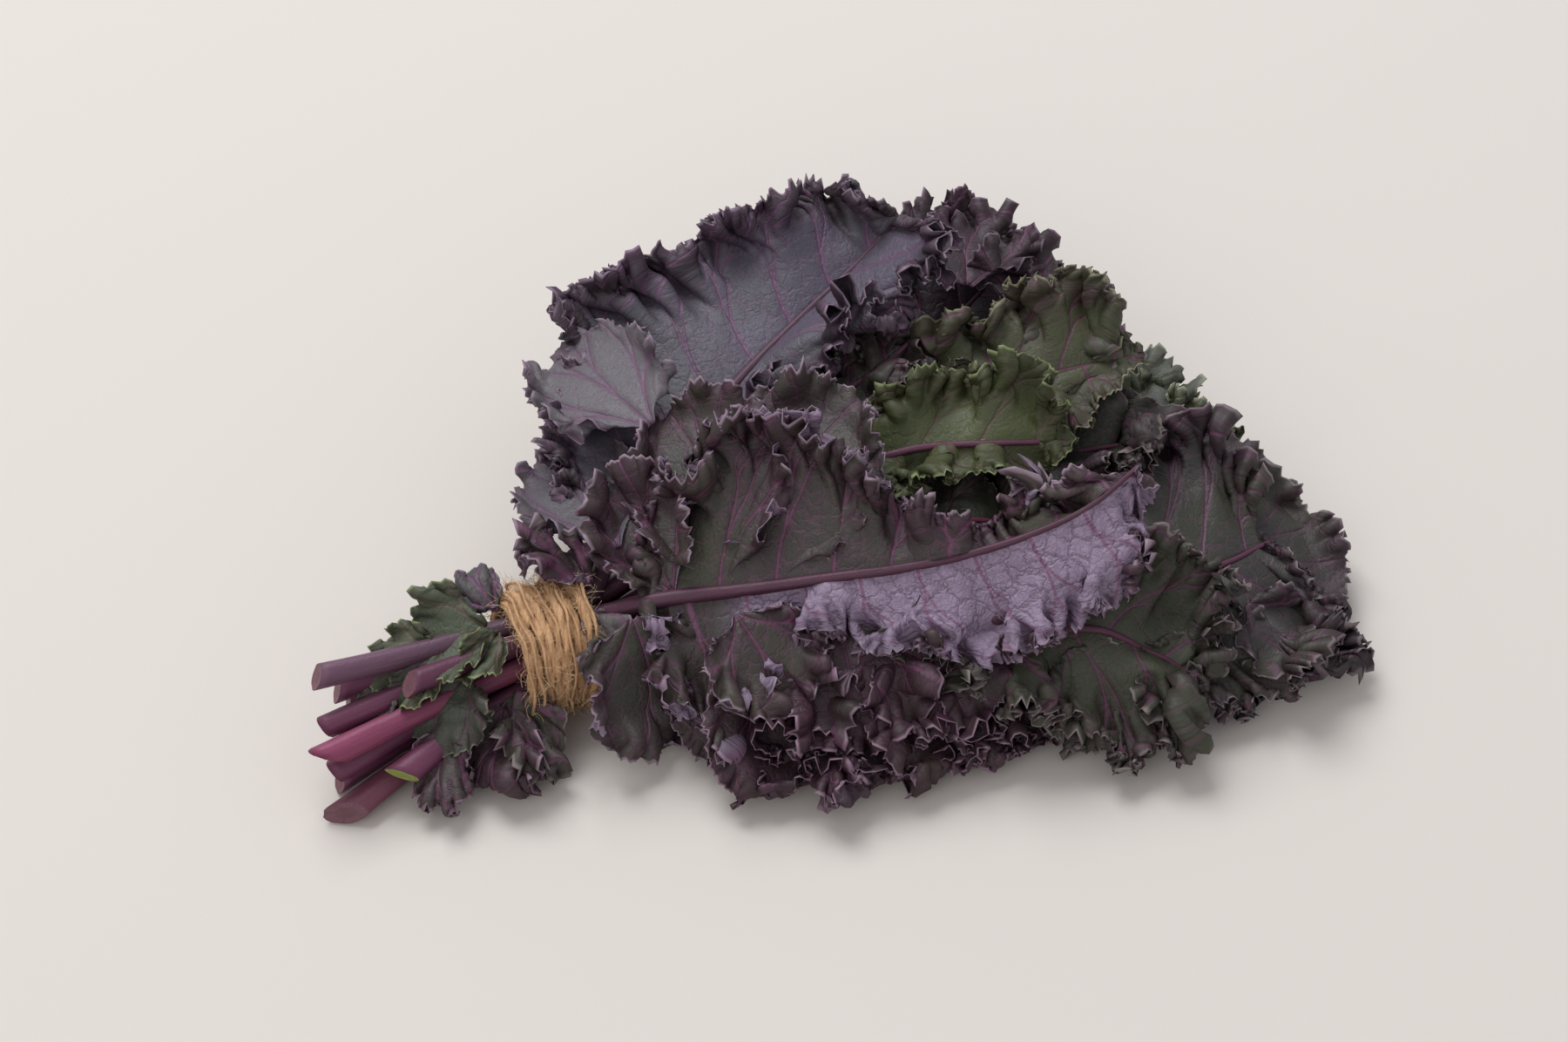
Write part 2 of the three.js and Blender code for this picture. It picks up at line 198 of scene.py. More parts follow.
def wander(places, seed):
    """Smooth noise from -1 to 1 that takes a new value at each whole number."""
    values = np.random.default_rng(seed).uniform(-1, 1, 1024)
    low = np.floor(places).astype(int)
    part = smooth_step(0, 1, places - low)
    return values[low % 1024] * (1 - part) + values[(low + 1) % 1024] * part


def speckle(across, up, seed):
    """Smooth noise from -1 to 1 over a plane, with a new value at each whole number both ways."""
    values = np.random.default_rng(seed).uniform(-1, 1, (256, 256))
    column, row = np.floor(across).astype(int), np.floor(up).astype(int)
    right, rise = smooth_step(0, 1, across - column), smooth_step(0, 1, up - row)

    def corner(i, j):
        return values[(column + i) % 256, (row + j) % 256]

    low = corner(0, 0) * (1 - right) + corner(1, 0) * right
    high = corner(0, 1) * (1 - right) + corner(1, 1) * right
    return low * (1 - rise) + high * rise


# ---------------------------------------------------------------- where the CAD leaves lie


def chordal(points, shares):
    """A chordal Catmull-Rom curve: its points at shares of its spans, and its direction there."""
    points = np.asarray(points, float)
    ends = np.vstack([2 * points[0] - points[1], points, 2 * points[-1] - points[-2]])
    spans = len(points) - 1
    at = np.clip(np.asarray(shares, float) * spans, 0, spans)
    low = np.minimum(at.astype(int), spans - 1)
    part = (at - low)[:, None]
    p0, p1, p2, p3 = (ends[low + i] for i in range(4))
    d0, d1, d2 = (np.linalg.norm(b - a, axis=1)[:, None] for a, b in ((p0, p1), (p1, p2), (p2, p3)))
    t1 = ((p1 - p0) / d0 - (p2 - p0) / (d0 + d1) + (p2 - p1) / d1) * d1
    t2 = ((p2 - p1) / d1 - (p3 - p1) / (d1 + d2) + (p3 - p2) / d2) * d1
    square, cube = part**2, part**3
    place = p1 + t1 * part + (3 * (p2 - p1) - 2 * t1 - t2) * square + (2 * (p1 - p2) + t1 + t2) * cube
    way = t1 + 2 * (3 * (p2 - p1) - 2 * t1 - t2) * part + 3 * (2 * (p1 - p2) + t1 + t2) * square
    return place, unit(way)


def stem_and_rib(leaf):
    """The places and directions of a leaf's stations, stem first, and the share of the blade at each."""
    across, up = SLOTS[leaf["slot"]]
    held = [(TIE[0] + x, across, up) for x in (-TIE_REACH, 0, TIE_REACH)]
    points = [leaf["cut"], *held, *leaf["rib"]]
    start = 4 / (len(points) - 1)
    shares = [start * i / STEM_STATIONS for i in range(STEM_STATIONS)]
    shares += [start + (1 - start) * i / (BLADE_STATIONS - 1) for i in range(BLADE_STATIONS)]
    places, ways = chordal(points, shares)
    return places, ways, np.maximum(0, (np.array(shares) - start) / (1 - start))


def blade_outline(leaf):
    """The level places of a blade's stations by its sections, from the left margin to the right."""
    places, ways, blade = (row[STEM_STATIONS:] for row in stem_and_rib(leaf))
    ahead = unit(ways[:, :2])
    right_hand = np.stack([ahead[:, 1], -ahead[:, 0]], axis=1)
    radius = STEM_RADII[-1] + (RIB_TIP_RADIUS - STEM_RADII[-1]) * blade
    sweep = leaf.get("sweep", (0.35, 0.35))
    columns = []
    for side, widths, lean in ((-1, leaf["left"], sweep[0]), (1, leaf["right"], sweep[1])):
        held = []
        for step, share in enumerate(SHARES_OUT):
            least = (1.6 + 0.4 * step) * radius
            out = np.maximum(share * along(widths, blade), least)
            sideways, forwards = (side * out)[:, None], (lean * (out - radius))[:, None]
            held.append(places[:, :2] + sideways * right_hand + forwards * ahead)
        columns.append(held)
    return np.stack([*columns[0][::-1], places[:, :2], *columns[1]], axis=1)


def corners_of(node):
    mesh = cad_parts[node].data
    points = np.empty(len(mesh.vertices) * 3, np.float32)
    mesh.vertices.foreach_get("co", points)
    return points.reshape(-1, 3).astype(float) / MM


def nearest(corners, place):
    return np.argmin(((corners[:, :2] - place) ** 2).sum(axis=1))


def find_bench():
    """What carries the bunch's own measure into the frame's, found from where the CAD's top leaf lies."""
    low, high = (np.array(corner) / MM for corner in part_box("twine_binding"))
    bench = (low + high) / 2 - TIE
    corners = corners_of("top_leaf")
    outline = blade_outline(LEAVES["top_leaf"]).reshape(-1, 2)
    for _ in range(3):
        gaps = [corners[nearest(corners, place + bench[:2]), :2] - place - bench[:2] for place in outline]
        bench[:2] += np.median(gaps, axis=0)
    return np.array([bench[0], bench[1], 0.0])


BENCH = find_bench()


def blade_sections(name, leaf):
    """The middle of the CAD blade at each station and section: an array of points in the frame."""
    corners = corners_of(name)
    outline = blade_outline(leaf) + BENCH[:2]
    found = np.empty(outline.shape[:2] + (3,))
    for index in np.ndindex(outline.shape[:2]):
        place = outline[index]
        beside = ((corners[:, :2] - place) ** 2).sum(axis=1)
        close = corners[beside < beside.min() + 0.01]
        found[index] = (*place, (close[:, 2].min() + close[:, 2].max()) / 2)
    return found


# ---------------------------------------------------------------- meshes


class Solid:
    """Gathers closed shells into one mesh, with the marks that the finishes read."""

    MARKS = ("margin", "upper", "cut", "stem", "fresh", "green", "pale")

    def __init__(self):
        self.points, self.flat, self.lines, self.faces, self.count = [], [], [], [], 0
        self.marks = {name: [] for name in self.MARKS}

    def add(self, points, faces, flat, lines=(0.5, 0.0, 20.0), **marks):
        """A closed shell: its points, groups of faces, flat measure, vein lines and marks."""
        self.points.append(points)
        self.flat.append(flat)
        self.lines.append(np.broadcast_to(lines, (len(points), 3)))
        self.faces += [np.asarray(group) + self.count for group in faces]
        self.count += len(points)
        for name in self.MARKS:
            self.marks[name].append(np.broadcast_to(marks.get(name, 0.0), len(points)))

    def piece(self, name, material):
        points = np.concatenate(self.points) * MM
        points[:, 2] = np.maximum(points[:, 2], TABLE_GAP * MM)
        mesh = bpy.data.meshes.new(name)
        mesh.vertices.add(len(points))
        mesh.vertices.foreach_set("co", points.astype(np.float32).ravel())
        sizes = np.concatenate([np.full(len(group), group.shape[1]) for group in self.faces])
        corners = np.concatenate([group.ravel() for group in self.faces])
        mesh.loops.add(len(corners))
        mesh.loops.foreach_set("vertex_index", corners.astype(np.int32))
        mesh.polygons.add(len(sizes))
        starts = np.concatenate([[0], np.cumsum(sizes)[:-1]])
        mesh.polygons.foreach_set("loop_start", starts.astype(np.int32))
        mesh.update(calc_edges=True)
        mesh.validate()
        mesh.polygons.foreach_set("use_smooth", np.ones(len(mesh.polygons), bool))
        for mark, values in self.marks.items():
            layer = mesh.attributes.new(mark, "FLOAT", "POINT")
            layer.data.foreach_set("value", np.concatenate(values).astype(np.float32))
        for mark, values in (("flat", self.flat), ("lines", self.lines)):
            layer = mesh.attributes.new(mark, "FLOAT_VECTOR", "POINT")
            layer.data.foreach_set("vector", np.concatenate(values).astype(np.float32).ravel())
        mesh.materials.append(material)
        made = bpy.data.objects.new(name, mesh)
        bpy.context.scene.collection.objects.link(made)
        return made


def banded(rows, strides):
    """Which points of a grid each column keeps, the faces between them and the ring round the rim."""
    kept = [np.arange(0, rows, stride) for stride in strides]
    starts = np.concatenate([[0], np.cumsum([len(column) for column in kept])])
    at = [np.arange(starts[j], starts[j + 1]) for j in range(len(strides))]
    quads, thirds = [], []
    for inner, outer in zip(at[:-1], at[1:]):
        if len(inner) == len(outer):
            quads.append(np.stack([inner[:-1], outer[:-1], outer[1:], inner[1:]], axis=-1))
        else:
            a, b, c, d, e = inner[:-1], inner[1:], outer[:-1:2], outer[1::2], outer[2::2]
            thirds += [np.stack(corners, axis=-1) for corners in ((a, c, d), (a, d, b), (b, d, e))]
    first, last = [column[0] for column in at], [column[-1] for column in at]
    rim = np.concatenate([first, at[-1][1:], last[-2::-1], at[0][-2:0:-1]])
    columns = np.repeat(np.arange(len(strides)), [len(column) for column in kept])
    groups = [np.concatenate(quads), *([np.concatenate(thirds)] if thirds else [])]
    return np.concatenate(kept), columns, groups, rim


def add_sheet(solid, surface, normal, thickness, strides, upper, flat, lines, **marks):
    """A closed sheet round a surface of points. upper is 1 where normal leaves the leaf's upper face."""
    half = normal * (thickness / 2)[..., None]
    facing = np.cross(surface[1:, :-1] - surface[:-1, :-1], surface[:-1, 1:] - surface[:-1, :-1])
    rows, columns, groups, rim = banded(len(surface), strides)
    if (facing * normal[:-1, :-1]).sum() > 0:
        groups, rim = [group[:, ::-1] for group in groups], rim[::-1]
    count = len(rows)
    after = np.roll(rim, -1)
    wall = np.stack([after, rim, rim + count, after + count], axis=-1)
    faces = [*groups, *(group[:, ::-1] + count for group in groups), wall]

    def on_both_faces(values, shape, repeats):
        return np.tile(np.broadcast_to(values, shape)[rows, columns], repeats)

    points = np.concatenate([(surface + half)[rows, columns], (surface - half)[rows, columns]])
    upper = np.broadcast_to(upper, surface.shape[:2])[rows, columns]
    facing_mark = np.concatenate([upper, 1.0 - upper])
    marks = {name: on_both_faces(value, surface.shape[:2], 2) for name, value in marks.items()}
    flat, lines = (on_both_faces(values, surface.shape, (2, 1)) for values in (flat, lines))
    solid.add(points, faces, flat, lines, upper=facing_mark, **marks)


# ---------------------------------------------------------------- a blade's frills

# Each level of frill rides on the one before: its wave length, its height and how far from the
# margin it starts, in millimetres.
FRILLS = ((34.0, 6.5, 28.0), (13.0, 4.6, 17.0), (5.0, 1.7, 8.5))
SHEET_THICKNESS = 0.55
HIGHEST = CAD_BOX[1][2] / MM + 4.0  # frills that stand higher than this are pressed down
VEIN_GAP = 21.0
PRESSED = 0.65  # the share of the height above HIGHEST that is taken off
LOWEST = 0.75  # how far the middle of a sheet stays above the table
TABLE_GAP = 0.05  # how far every point stays above the table
BROAD = 24.0  # a blade at least this wide from rib to margin has frills of full height
FRILL_ROOM = 12.5  # the room that full frills want on each side of the sheet
FRILL_BAND = 26  # how far from the margin the frills want room
TOOTH_LENGTHS = (9, 3.6)
TOOTH_DEPTHS = (2.0, 1.2)
COLUMNS = 32
GRID_OUT = 1 - (1 - np.linspace(0, 1, COLUMNS)) ** 1.4
STRIDES = [8 if out < 0.38 else 4 if out < 0.66 else 2 if out < 0.86 else 1 for out in GRID_OUT]
ABOVE_RIB = (0, 1.5, 0.6)  # from the midrib's middle line to the root of a lobe that stands on it
FACING = (0, -0.4, 1.0)  # the way that the lobes' upper faces turn
LOBE_DROOP = 0.22  # how far a lobe bends down at its tip, as a share of its length
LOBE_CUP = 0.18
LOBE_VEINS = 1.6  # side veins on each side of a lobe's middle


def soften(values, reach):
    """Each value's mean along the rows, within reach rows."""
    ends = [np.repeat(values[:1], reach, 0), values, np.repeat(values[-1:], reach, 0)]
    total = np.cumsum(np.concatenate([0 * values[:1], *ends]), axis=0)
    return (total[2 * reach + 1 :] - total[: -2 * reach - 1]) / (2 * reach + 1)


def directions(surface, upwards, reach=0):
    """The unit normal and the unit way along the margin, everywhere on a surface."""
    if reach:
        surface = soften(surface, reach)
    ahead, out = np.gradient(surface, axis=0), np.gradient(surface, axis=1)
    return unit(np.cross(ahead, out)) * upwards, unit(ahead)


def frilled(surface, apart, room, upwards, seed, grain, reach):
    """The surface with every level of frill, each one laid on the last one's own slopes."""
    for level, (length, height, depth) in enumerate(FRILLS):
        depth = depth * reach
        normal, ahead = directions(surface, upwards, int(length / grain / 12) + 1)
        waves = walked(surface[:, -1]) / length
        own = seed * 10 + level
        drift = 0.85 * wander(waves * 0.5, own)[:, None]
        skew = 0.32 * speckle(waves[:, None] * 0.6 + 0 * apart, apart / length * 1.5, own + 3)
        phase = 2 * np.pi * (waves[:, None] + drift + skew)
        rise = smooth_step(depth, 0.0, apart)
        swing = rise * room * height * (1 + 0.6 * wander(waves * 0.7, own + 6))[:, None]
        slide = rise * room * length * 0.11
        surface = surface + normal * (swing * np.sin(phase))[..., None]
        surface = surface - ahead * (slide * np.sin(2 * phase))[..., None]
    return surface


def toothed(surface, out, apart, widths, seed):
    """The surface with its margin cut into small uneven teeth."""
    way = walked(surface[:, -1])
    large = np.abs(np.sin(np.pi * (way / TOOTH_LENGTHS[0] + 0.6 * wander(way / 11, seed + 1))))
    fine = np.abs(np.sin(np.pi * (way / TOOTH_LENGTHS[1] + 0.5 * wander(way / 4, seed + 2))))
    depth = TOOTH_DEPTHS[0] * large * (0.6 + 0.5 * wander(way / 14, seed + 3))
    depth = depth + TOOTH_DEPTHS[1] * fine**0.8
    depth = depth * np.clip(widths / 20, 0.1, 1)
    retreat = smooth_step(7.0, 0.0, apart) * (depth / np.maximum(widths, 1.0))[:, None]
    at = np.clip(out[None, :] - retreat, 0, 1)
    low = np.clip(np.searchsorted(out, at) - 1, 0, len(out) - 2)
    part = ((at - out[low]) / (out[low + 1] - out[low]))[..., None]
    rows = np.arange(len(surface))[:, None]
    return surface[rows, low] * (1 - part) + surface[rows, low + 1] * part


def vein_distance(turn, out, gap):
    """How far a point is from the nearest side vein, which forks twice on its way to the margin."""
    aside = np.abs(turn - np.round(turn))
    fork = np.maximum(out - 0.3, 0) * 0.4
    twig = np.maximum(out - 0.58, 0) * 0.34
    return np.abs(np.abs(aside - fork) - twig) * gap


def clearance(surface, normal, others, reach=26.0):
    """How far each point can move along its normal, and against it, before it meets another leaf."""
    up, down = np.full(surface.shape[:2], reach), np.full(surface.shape[:2], reach)
    for index in np.ndindex(surface.shape[:2]):
        place, way = Vector(surface[index] * MM), Vector(normal[index])
        for room, sign in ((up, 1), (down, -1)):
            hit = others.ray_cast(place, way * sign, reach * MM)
            if hit[0] is not None:
                room[index] = hit[3] / MM
            fall = -way.z * sign
            if fall > 0.05:
                room[index] = min(room[index], max(0.2, (place.z / MM - 0.5) / fall))
    return up, down


def near(values, reach, choose):
    """What choose makes of each value and its neighbours within reach steps."""
    padded = np.pad(values, reach, mode="edge")
    rows, columns = values.shape
    steps = range(2 * reach + 1)
    return choose([padded[i : i + rows, j : j + columns] for i in steps for j in steps], axis=0)


def stretch(values, rows, columns):
    """A small grid of values drawn out smoothly to a larger one."""
    tall = through(np.linspace(0, 1, values.shape[0]), values, np.linspace(0, 1, rows))
    return through(np.linspace(0, 1, values.shape[1]), tall.T, columns).T


def crisp(solid, surface, turn, gap, upwards, others, grain, seed, look):
    """Frills, teeth and puckers a plain surface of rows along the margin by GRID_OUT, and adds it."""
    out = GRID_OUT
    rows = len(surface)
    widths = np.linalg.norm(surface[:, -1] - surface[:, 0], axis=1)
    apart = (1 - out)[None, :] * widths[:, None]
    normal, _ = directions(surface, upwards)
    some = np.linspace(0, rows - 1, max(12, rows // 24)).astype(int)
    every = np.linspace(0, len(out) - 1, 12).astype(int)
    up, down = clearance(surface[some][:, every], normal[some][:, every], others)
    up, down = (near(near(room, 2, np.minimum.reduce), 2, np.mean) for room in (up, down))
    up, down = (np.clip(stretch(room, rows, out), 0.2, None) for room in (up, down))

    small = np.clip(widths / BROAD, 0.12, 1.0)[:, None]
    wanted = 0.3 + FRILL_ROOM * small * smooth_step(FRILL_BAND, 0, apart)
    room = np.clip(0.5 * (up + down) / wanted, look["least"], 1.0)
    need = wanted * room
    lift = soften(np.clip(need - down, 0, None) - np.clip(need - up, 0, None), 12)
    curl = look["curl"] * room * small * smooth_step(20, 0, apart) ** 2
    surface = surface + normal * (lift + curl)[..., None]
    plain = surface.copy()
    room = soften(room * small * look["frill"], 12)

    surface = frilled(surface, apart, room, upwards, seed, grain, look["depth"])
    surface = toothed(surface, out, apart, widths, seed)
    normal, _ = directions(surface, upwards)
    away = vein_distance(turn, out[None, :], gap)
    vein = np.exp(-((away / (0.5 + 1.1 * (1 - out))[None, :]) ** 2)) * (1 - 0.6 * out)[None, :]
    pucker = 0.4 * speckle(plain[..., 0] / 9, (plain[..., 1] + plain[..., 2]) / 9, seed + 4)
    raised = (0.5 + pucker) * (1 - vein) * smooth_step(0.0, 0.15, out)[None, :] - 0.45 * vein
    surface = surface + normal * (raised * (-1.0 if look["underside"] else 1.0))[..., None]
    over = surface[..., 2] - HIGHEST
    surface[..., 2] -= PRESSED * np.maximum(over, 0)
    surface[..., 2] = np.maximum(surface[..., 2], LOWEST + 0.2 * np.sin(surface[..., 0]))
    normal, _ = directions(surface, upwards)
    thickness = SHEET_THICKNESS * (0.45 + 0.55 * smooth_step(0, 4, apart)) + 0.4 * vein * (1 - out)[None, :]
    lines = np.stack([turn + 0 * apart, out[None, :] + 0 * apart, gap + 0 * apart], axis=-1)
    marks = {"green": look["green"], "pale": look["pale"]}
    upper = 1.0
    if look["underside"]:
        upper = 1 - smooth_step(*look["rolls"], np.linspace(0, 1, rows))[:, None]
    flat = plain + seed * 3.7
    add_sheet(solid, surface, normal, thickness, STRIDES, upper, flat, lines, margin=apart, **marks)


def half_blade(solid, sections, left, others, grain, seed, look):
    """One half of a blade, from the rib to its frilled margin, as a closed sheet."""
    columns = [3, 2, 1, 0] if left else [3, 4, 5, 6]
    held = sections[:, columns].copy()
    across = np.linalg.norm(held[..., :2] - held[:, :1, :2], axis=-1)
    held[..., 2] = np.minimum(held[..., 2], held[:, :1, 2] + look["climb"] * across)
    fine = np.linspace(0, BLADE_STATIONS - 1, 400)
    distance = walked(through(range(BLADE_STATIONS), held[:, -1], fine))
    rows = 8 * int(np.clip(distance[-1] / grain / 8, 30, 190)) + 1
    way = np.linspace(0, distance[-1], rows)
    stations = np.interp(way, distance, fine)
    lengthwise = through(range(BLADE_STATIONS), held, stations)

    # Deep bays part the margin into lobes, on top of the leaf's own listed bays.
    widths = np.linalg.norm(lengthwise[:, -1] - lengthwise[:, 0], axis=1)
    lobes = way / look["lobe"] + 0.35 * wander(way / 40, seed)
    bay = -3.0 + look["bay"] * (1 - np.abs(np.sin(np.pi * lobes))) ** 1.6
    for place, depth, breadth in look["bays"]:
        bay = np.maximum(bay, depth * np.exp(-(((way - place) / breadth) ** 2)))
    bay = np.clip(bay, -0.08 * widths, 0.7 * widths)
    shrink = 1 - bay / np.maximum(widths, 1)
    reach_out = GRID_OUT[None, :] * shrink[:, None]
    surface = np.empty((rows, COLUMNS, 3))
    for i in range(rows):
        surface[i] = through((0.0, *SHARES_OUT), lengthwise[i], reach_out[i])

    # Side veins leave the rib at even gaps and lean towards the tip as they go out.
    length = walked(lengthwise[:, 0])
    count = max(3, round(length[-1] / VEIN_GAP))
    turns = length / length[-1] * count
    lean = 0.4 * (reach_out * widths[:, None]) / (length[-1] / count) * smooth_step(0, 1, reach_out + 0.4)
    turn = turns[:, None] - (0.3 if left else 0.75) - lean
    gap = np.linalg.norm(np.gradient(surface, axis=0), axis=-1) / np.gradient(turns)[:, None]
    gap = np.clip(soften(gap, 6), 4, 60)
    crisp(solid, surface, turn, gap, 1 if left else -1, others, grain, seed, look)


def add_lobe(solid, lobe, sections, others, grain, seed, frill_share):
    """A small ruffled lobe that fans out from its root, which is a place or a share of the midrib."""
    tip, flank = (np.array(lobe[key], float) + BENCH for key in ("tip", "flank"))
    if isinstance(lobe["root"], float):
        root = through(range(BLADE_STATIONS), sections[:, 3], [lobe["root"] * (BLADE_STATIONS - 1)])[0]
        root = root + ABOVE_RIB
    else:
        root = np.array(lobe["root"], float) + BENCH
    length = np.linalg.norm(tip - root)
    way = (tip - root) / length
    side = unit(flank - root - way * ((flank - root) @ way))
    up = np.cross(way, side)
    up = up * (1 if up @ FACING > 0 else -1)
    spread = math.radians(lobe["spread"])
    arc = 2 * spread * length
    rows = 8 * int(np.clip(arc / grain / 18, 8, 40)) + 1
    angle = np.linspace(-spread, spread, rows)
    stretched = 1.4 * lobe["breadth"]
    reach = length * (0.3 + 0.7 * np.cos(angle / spread * np.pi / 2) ** 0.8)
    span = reach[:, None] * GRID_OUT[None, :] * 0.96 + 0.04 * length
    turned = angle[:, None] * (0.75 + 0.25 * GRID_OUT[None, :])
    bend = -LOBE_DROOP * (span / length) ** 2 * length
    cup = LOBE_CUP * span * np.sin(turned) ** 2
    surface = (
        root
        + way * (span * np.cos(turned))[..., None]
        + side * (span * np.sin(turned) * stretched)[..., None]
        + up * (bend + cup)[..., None]
    )
    surface[..., 2] = np.maximum(surface[..., 2], 1.5)
    turn = (angle / spread * LOBE_VEINS)[:, None] + 0 * span
    gap = np.maximum(span * (spread / LOBE_VEINS) * stretched, 0.5)
    look = {**USUAL, "least": 0.45, "curl": 2.0, "depth": 0.7 if length < 50 else 0.6, **lobe}
    look["frill"] = 0.75 * frill_share
    upwards = 1 if np.cross(side, way) @ up > 0 else -1
    crisp(solid, surface, turn, gap, upwards, others, grain, seed, look)


# ---------------------------------------------------------------- stems


def tube(path, radii, sides):
    """Rings of points round a path. The rings keep the same way up."""
    ways = unit(np.gradient(path, axis=0))
    side = unit(np.cross(ways, (0, 0, 1)))
    up = np.cross(side, ways)
    turns = np.linspace(0, 2 * np.pi, sides, endpoint=False)
    ring = side[:, None] * np.cos(turns)[None, :, None] + up[:, None] * np.sin(turns)[None, :, None]
    return path[:, None] + ring * radii[..., None]


def tube_faces(rings, sides, start_cap, end_cap):
    """Quads between the rings, and fans from the two cap points."""
    at = np.arange(rings * sides).reshape(rings, sides)
    beside = np.roll(at, -1, axis=1)
    quads = np.stack([at[:-1], beside[:-1], beside[1:], at[1:]], axis=-1).reshape(-1, 4)
    first = np.stack([np.full(sides, start_cap), beside[0], at[0]], axis=-1)
    last = np.stack([np.full(sides, end_cap), at[-1], beside[-1]], axis=-1)
    return [quads, first, last]


def add_stem(solid, leaf, sections, seed):
    """The stem and the midrib as one tapering tube with a slanting cut at its thick end."""
    places, _, blade = stem_and_rib(leaf)
    places = places + BENCH
    places[STEM_STATIONS:] = sections[:, 3]
    count = len(places)
    stations = np.linspace(0, count - 1, 200)
    path = through(range(count), places, stations)
    radii = np.concatenate([
        along(STEM_RADII, np.arange(STEM_STATIONS) / STEM_STATIONS),
        RIB_TIP_RADIUS + (STEM_RADII[-1] - RIB_TIP_RADIUS) * (1 - blade[STEM_STATIONS:]) ** 1.7,
    ])
    radii = through(range(count), radii, stations)
    sides = STEM_SIDES
    turns = np.linspace(0, 2 * np.pi, sides, endpoint=False)
    distance = walked(path)
    ridges = 0.035 * np.sin(5 * turns)[None, :] + 0.02 * np.sin(9 * turns + seed)[None, :]
    ridges = ridges + 0.03 * speckle(distance[:, None] / 9, turns[None, :] * 1.6, seed + 8)
    girth = radii[:, None] * (1 + ridges)
    girth[-1] *= 0.4
    rings = tube(path, girth, sides)

    # The cut leans back over the stretch that ends at the second station of the CAD stem.
    reach = np.linalg.norm(places[1] - places[0])
    fade = np.clip(1 - distance / reach, 0, 1)[:, None]
    across, up = (rings[..., i] - path[:, None, i] for i in (1, 2))
    rings[..., 0] += fade * (leaf["slant"][0] * across + leaf["slant"][1] * up)
    middle = rings[0].mean(axis=0)
    shares = (0.93, 0.8, 0.5)
    sunk = np.array((0.25, 0, 0))
    face = [middle + (rings[0] - middle) * share + sunk * (share < 0.9) for share in shares]
    all_rings = np.concatenate([np.array(face[::-1]), rings])
    number = len(all_rings)
    points = np.concatenate([all_rings.reshape(-1, 3), [middle, rings[-1].mean(axis=0)]])
    faces = [group[:, ::-1] for group in tube_faces(number, sides, number * sides, number * sides + 1)]
    cut = np.concatenate([np.ones(3 * sides), np.zeros((number - 3) * sides), [1, 0]])
    down_stem = np.concatenate([np.zeros(3), distance])
    flat = np.stack([
        np.repeat(down_stem, sides),
        np.tile(turns / (2 * np.pi) * 26, number),
        np.full(number * sides, seed * 1.0),
    ], axis=-1)
    flat = np.concatenate([flat, [[0, 0, 0], [distance[-1], 0, 0]]])
    fresh = np.concatenate([np.zeros(3), smooth_step(60, 0, distance)])
    fresh = np.append(np.repeat(fresh, sides), [0, 0])
    solid.add(points, faces, flat, stem=1.0, cut=cut, upper=1.0, fresh=fresh, margin=99.0)


# ---------------------------------------------------------------- finishes


class Value:
    """A shader socket on which sums can be written as plain Python."""

    def __init__(self, finish, socket):
        self.finish, self.socket = finish, socket

    def _sum(self, operation, *terms):
        return self.finish.node("Math", {"operation": operation}, *terms)["Value"]

    def __add__(self, other):
        return self._sum("ADD", self, other)

    def __sub__(self, other):
        return self._sum("SUBTRACT", self, other)

    def __rsub__(self, other):
        return self._sum("SUBTRACT", other, self)

    def __mul__(self, other):
        return self._sum("MULTIPLY", self, other)

    def __abs__(self):
        return self._sum("ABSOLUTE", self)

    def fraction(self):
        return self._sum("FRACT", self)

    def at_least(self, low):
        return self._sum("MAXIMUM", self, low)

    __radd__ = __add__
    __rmul__ = __mul__

    def ramp(self, low, high):
        """0 where this is low, 1 where it is high, and smooth between."""
        settings = {"interpolation_type": "SMOOTHSTEP"}
        return self.finish.node("MapRange", settings, self, low, high, 0.0, 1.0)["Result"]


class Outputs:
    """A node's outputs by name, each as a Value."""

    def __init__(self, finish, node):
        self.finish, self.made = finish, node

    def __getitem__(self, name):
        return Value(self.finish, self.made.outputs[name])


class Finish:
    """A material that is built one node at a time."""

    def __init__(self, name):
        self.material = bpy.data.materials.new(name)
        self.material.use_nodes = True
        self.tree = self.material.node_tree
        self.shader = self.tree.nodes["Principled BSDF"]

    def node(self, kind, settings=None, *values, **named):
        """Adds a node: its settings first, then its sockets' values or links, in order or by name."""
        made = self.tree.nodes.new("ShaderNode" + kind)
        for key, value in (settings or {}).items():
            setattr(made, key, value)
        sockets = [*zip(made.inputs, values), *((made.inputs[key], value) for key, value in named.items())]
        for socket, value in sockets:
            if isinstance(value, Value):
                self.tree.links.new(value.socket, socket)
            elif value is not None:
                socket.default_value = value
        return Outputs(self, made)

    def fill(self, socket, value):
        """Links a Value to a socket, or sets a number or a colour on it."""
        if isinstance(value, Value):
            self.tree.links.new(value.socket, socket)
        else:
            socket.default_value = value if isinstance(value, (int, float)) else (*value, 1.0)

    def mark(self, name, output="Fac"):
        return self.node("Attribute", {"attribute_name": name})[output]

    def mix(self, share, first, second):
        """A colour that goes from first to second as share goes from 0 to 1."""
        made = self.node("Mix", {"data_type": "RGBA"}).made
        for number, value in ((0, share), (6, first), (7, second)):
            self.fill(made.inputs[number], value)
        return Value(self, made.outputs[2])

    def noise(self, vector, scale, detail=3.0, roughness=0.55):
        values = {"Vector": vector, "Scale": scale, "Detail": detail, "Roughness": roughness}
        return self.node("TexNoise", None, **values)["Fac"]

    def surface(self, **values):
        for name, value in values.items():
            self.fill(self.shader.inputs[name.replace("_", " ")], value)
        return self.material


def blend(first, share, second, other_share):
    """A colour that is so much of one colour and so much of another."""
    return tuple(share * a + other_share * b for a, b in zip(first, second))


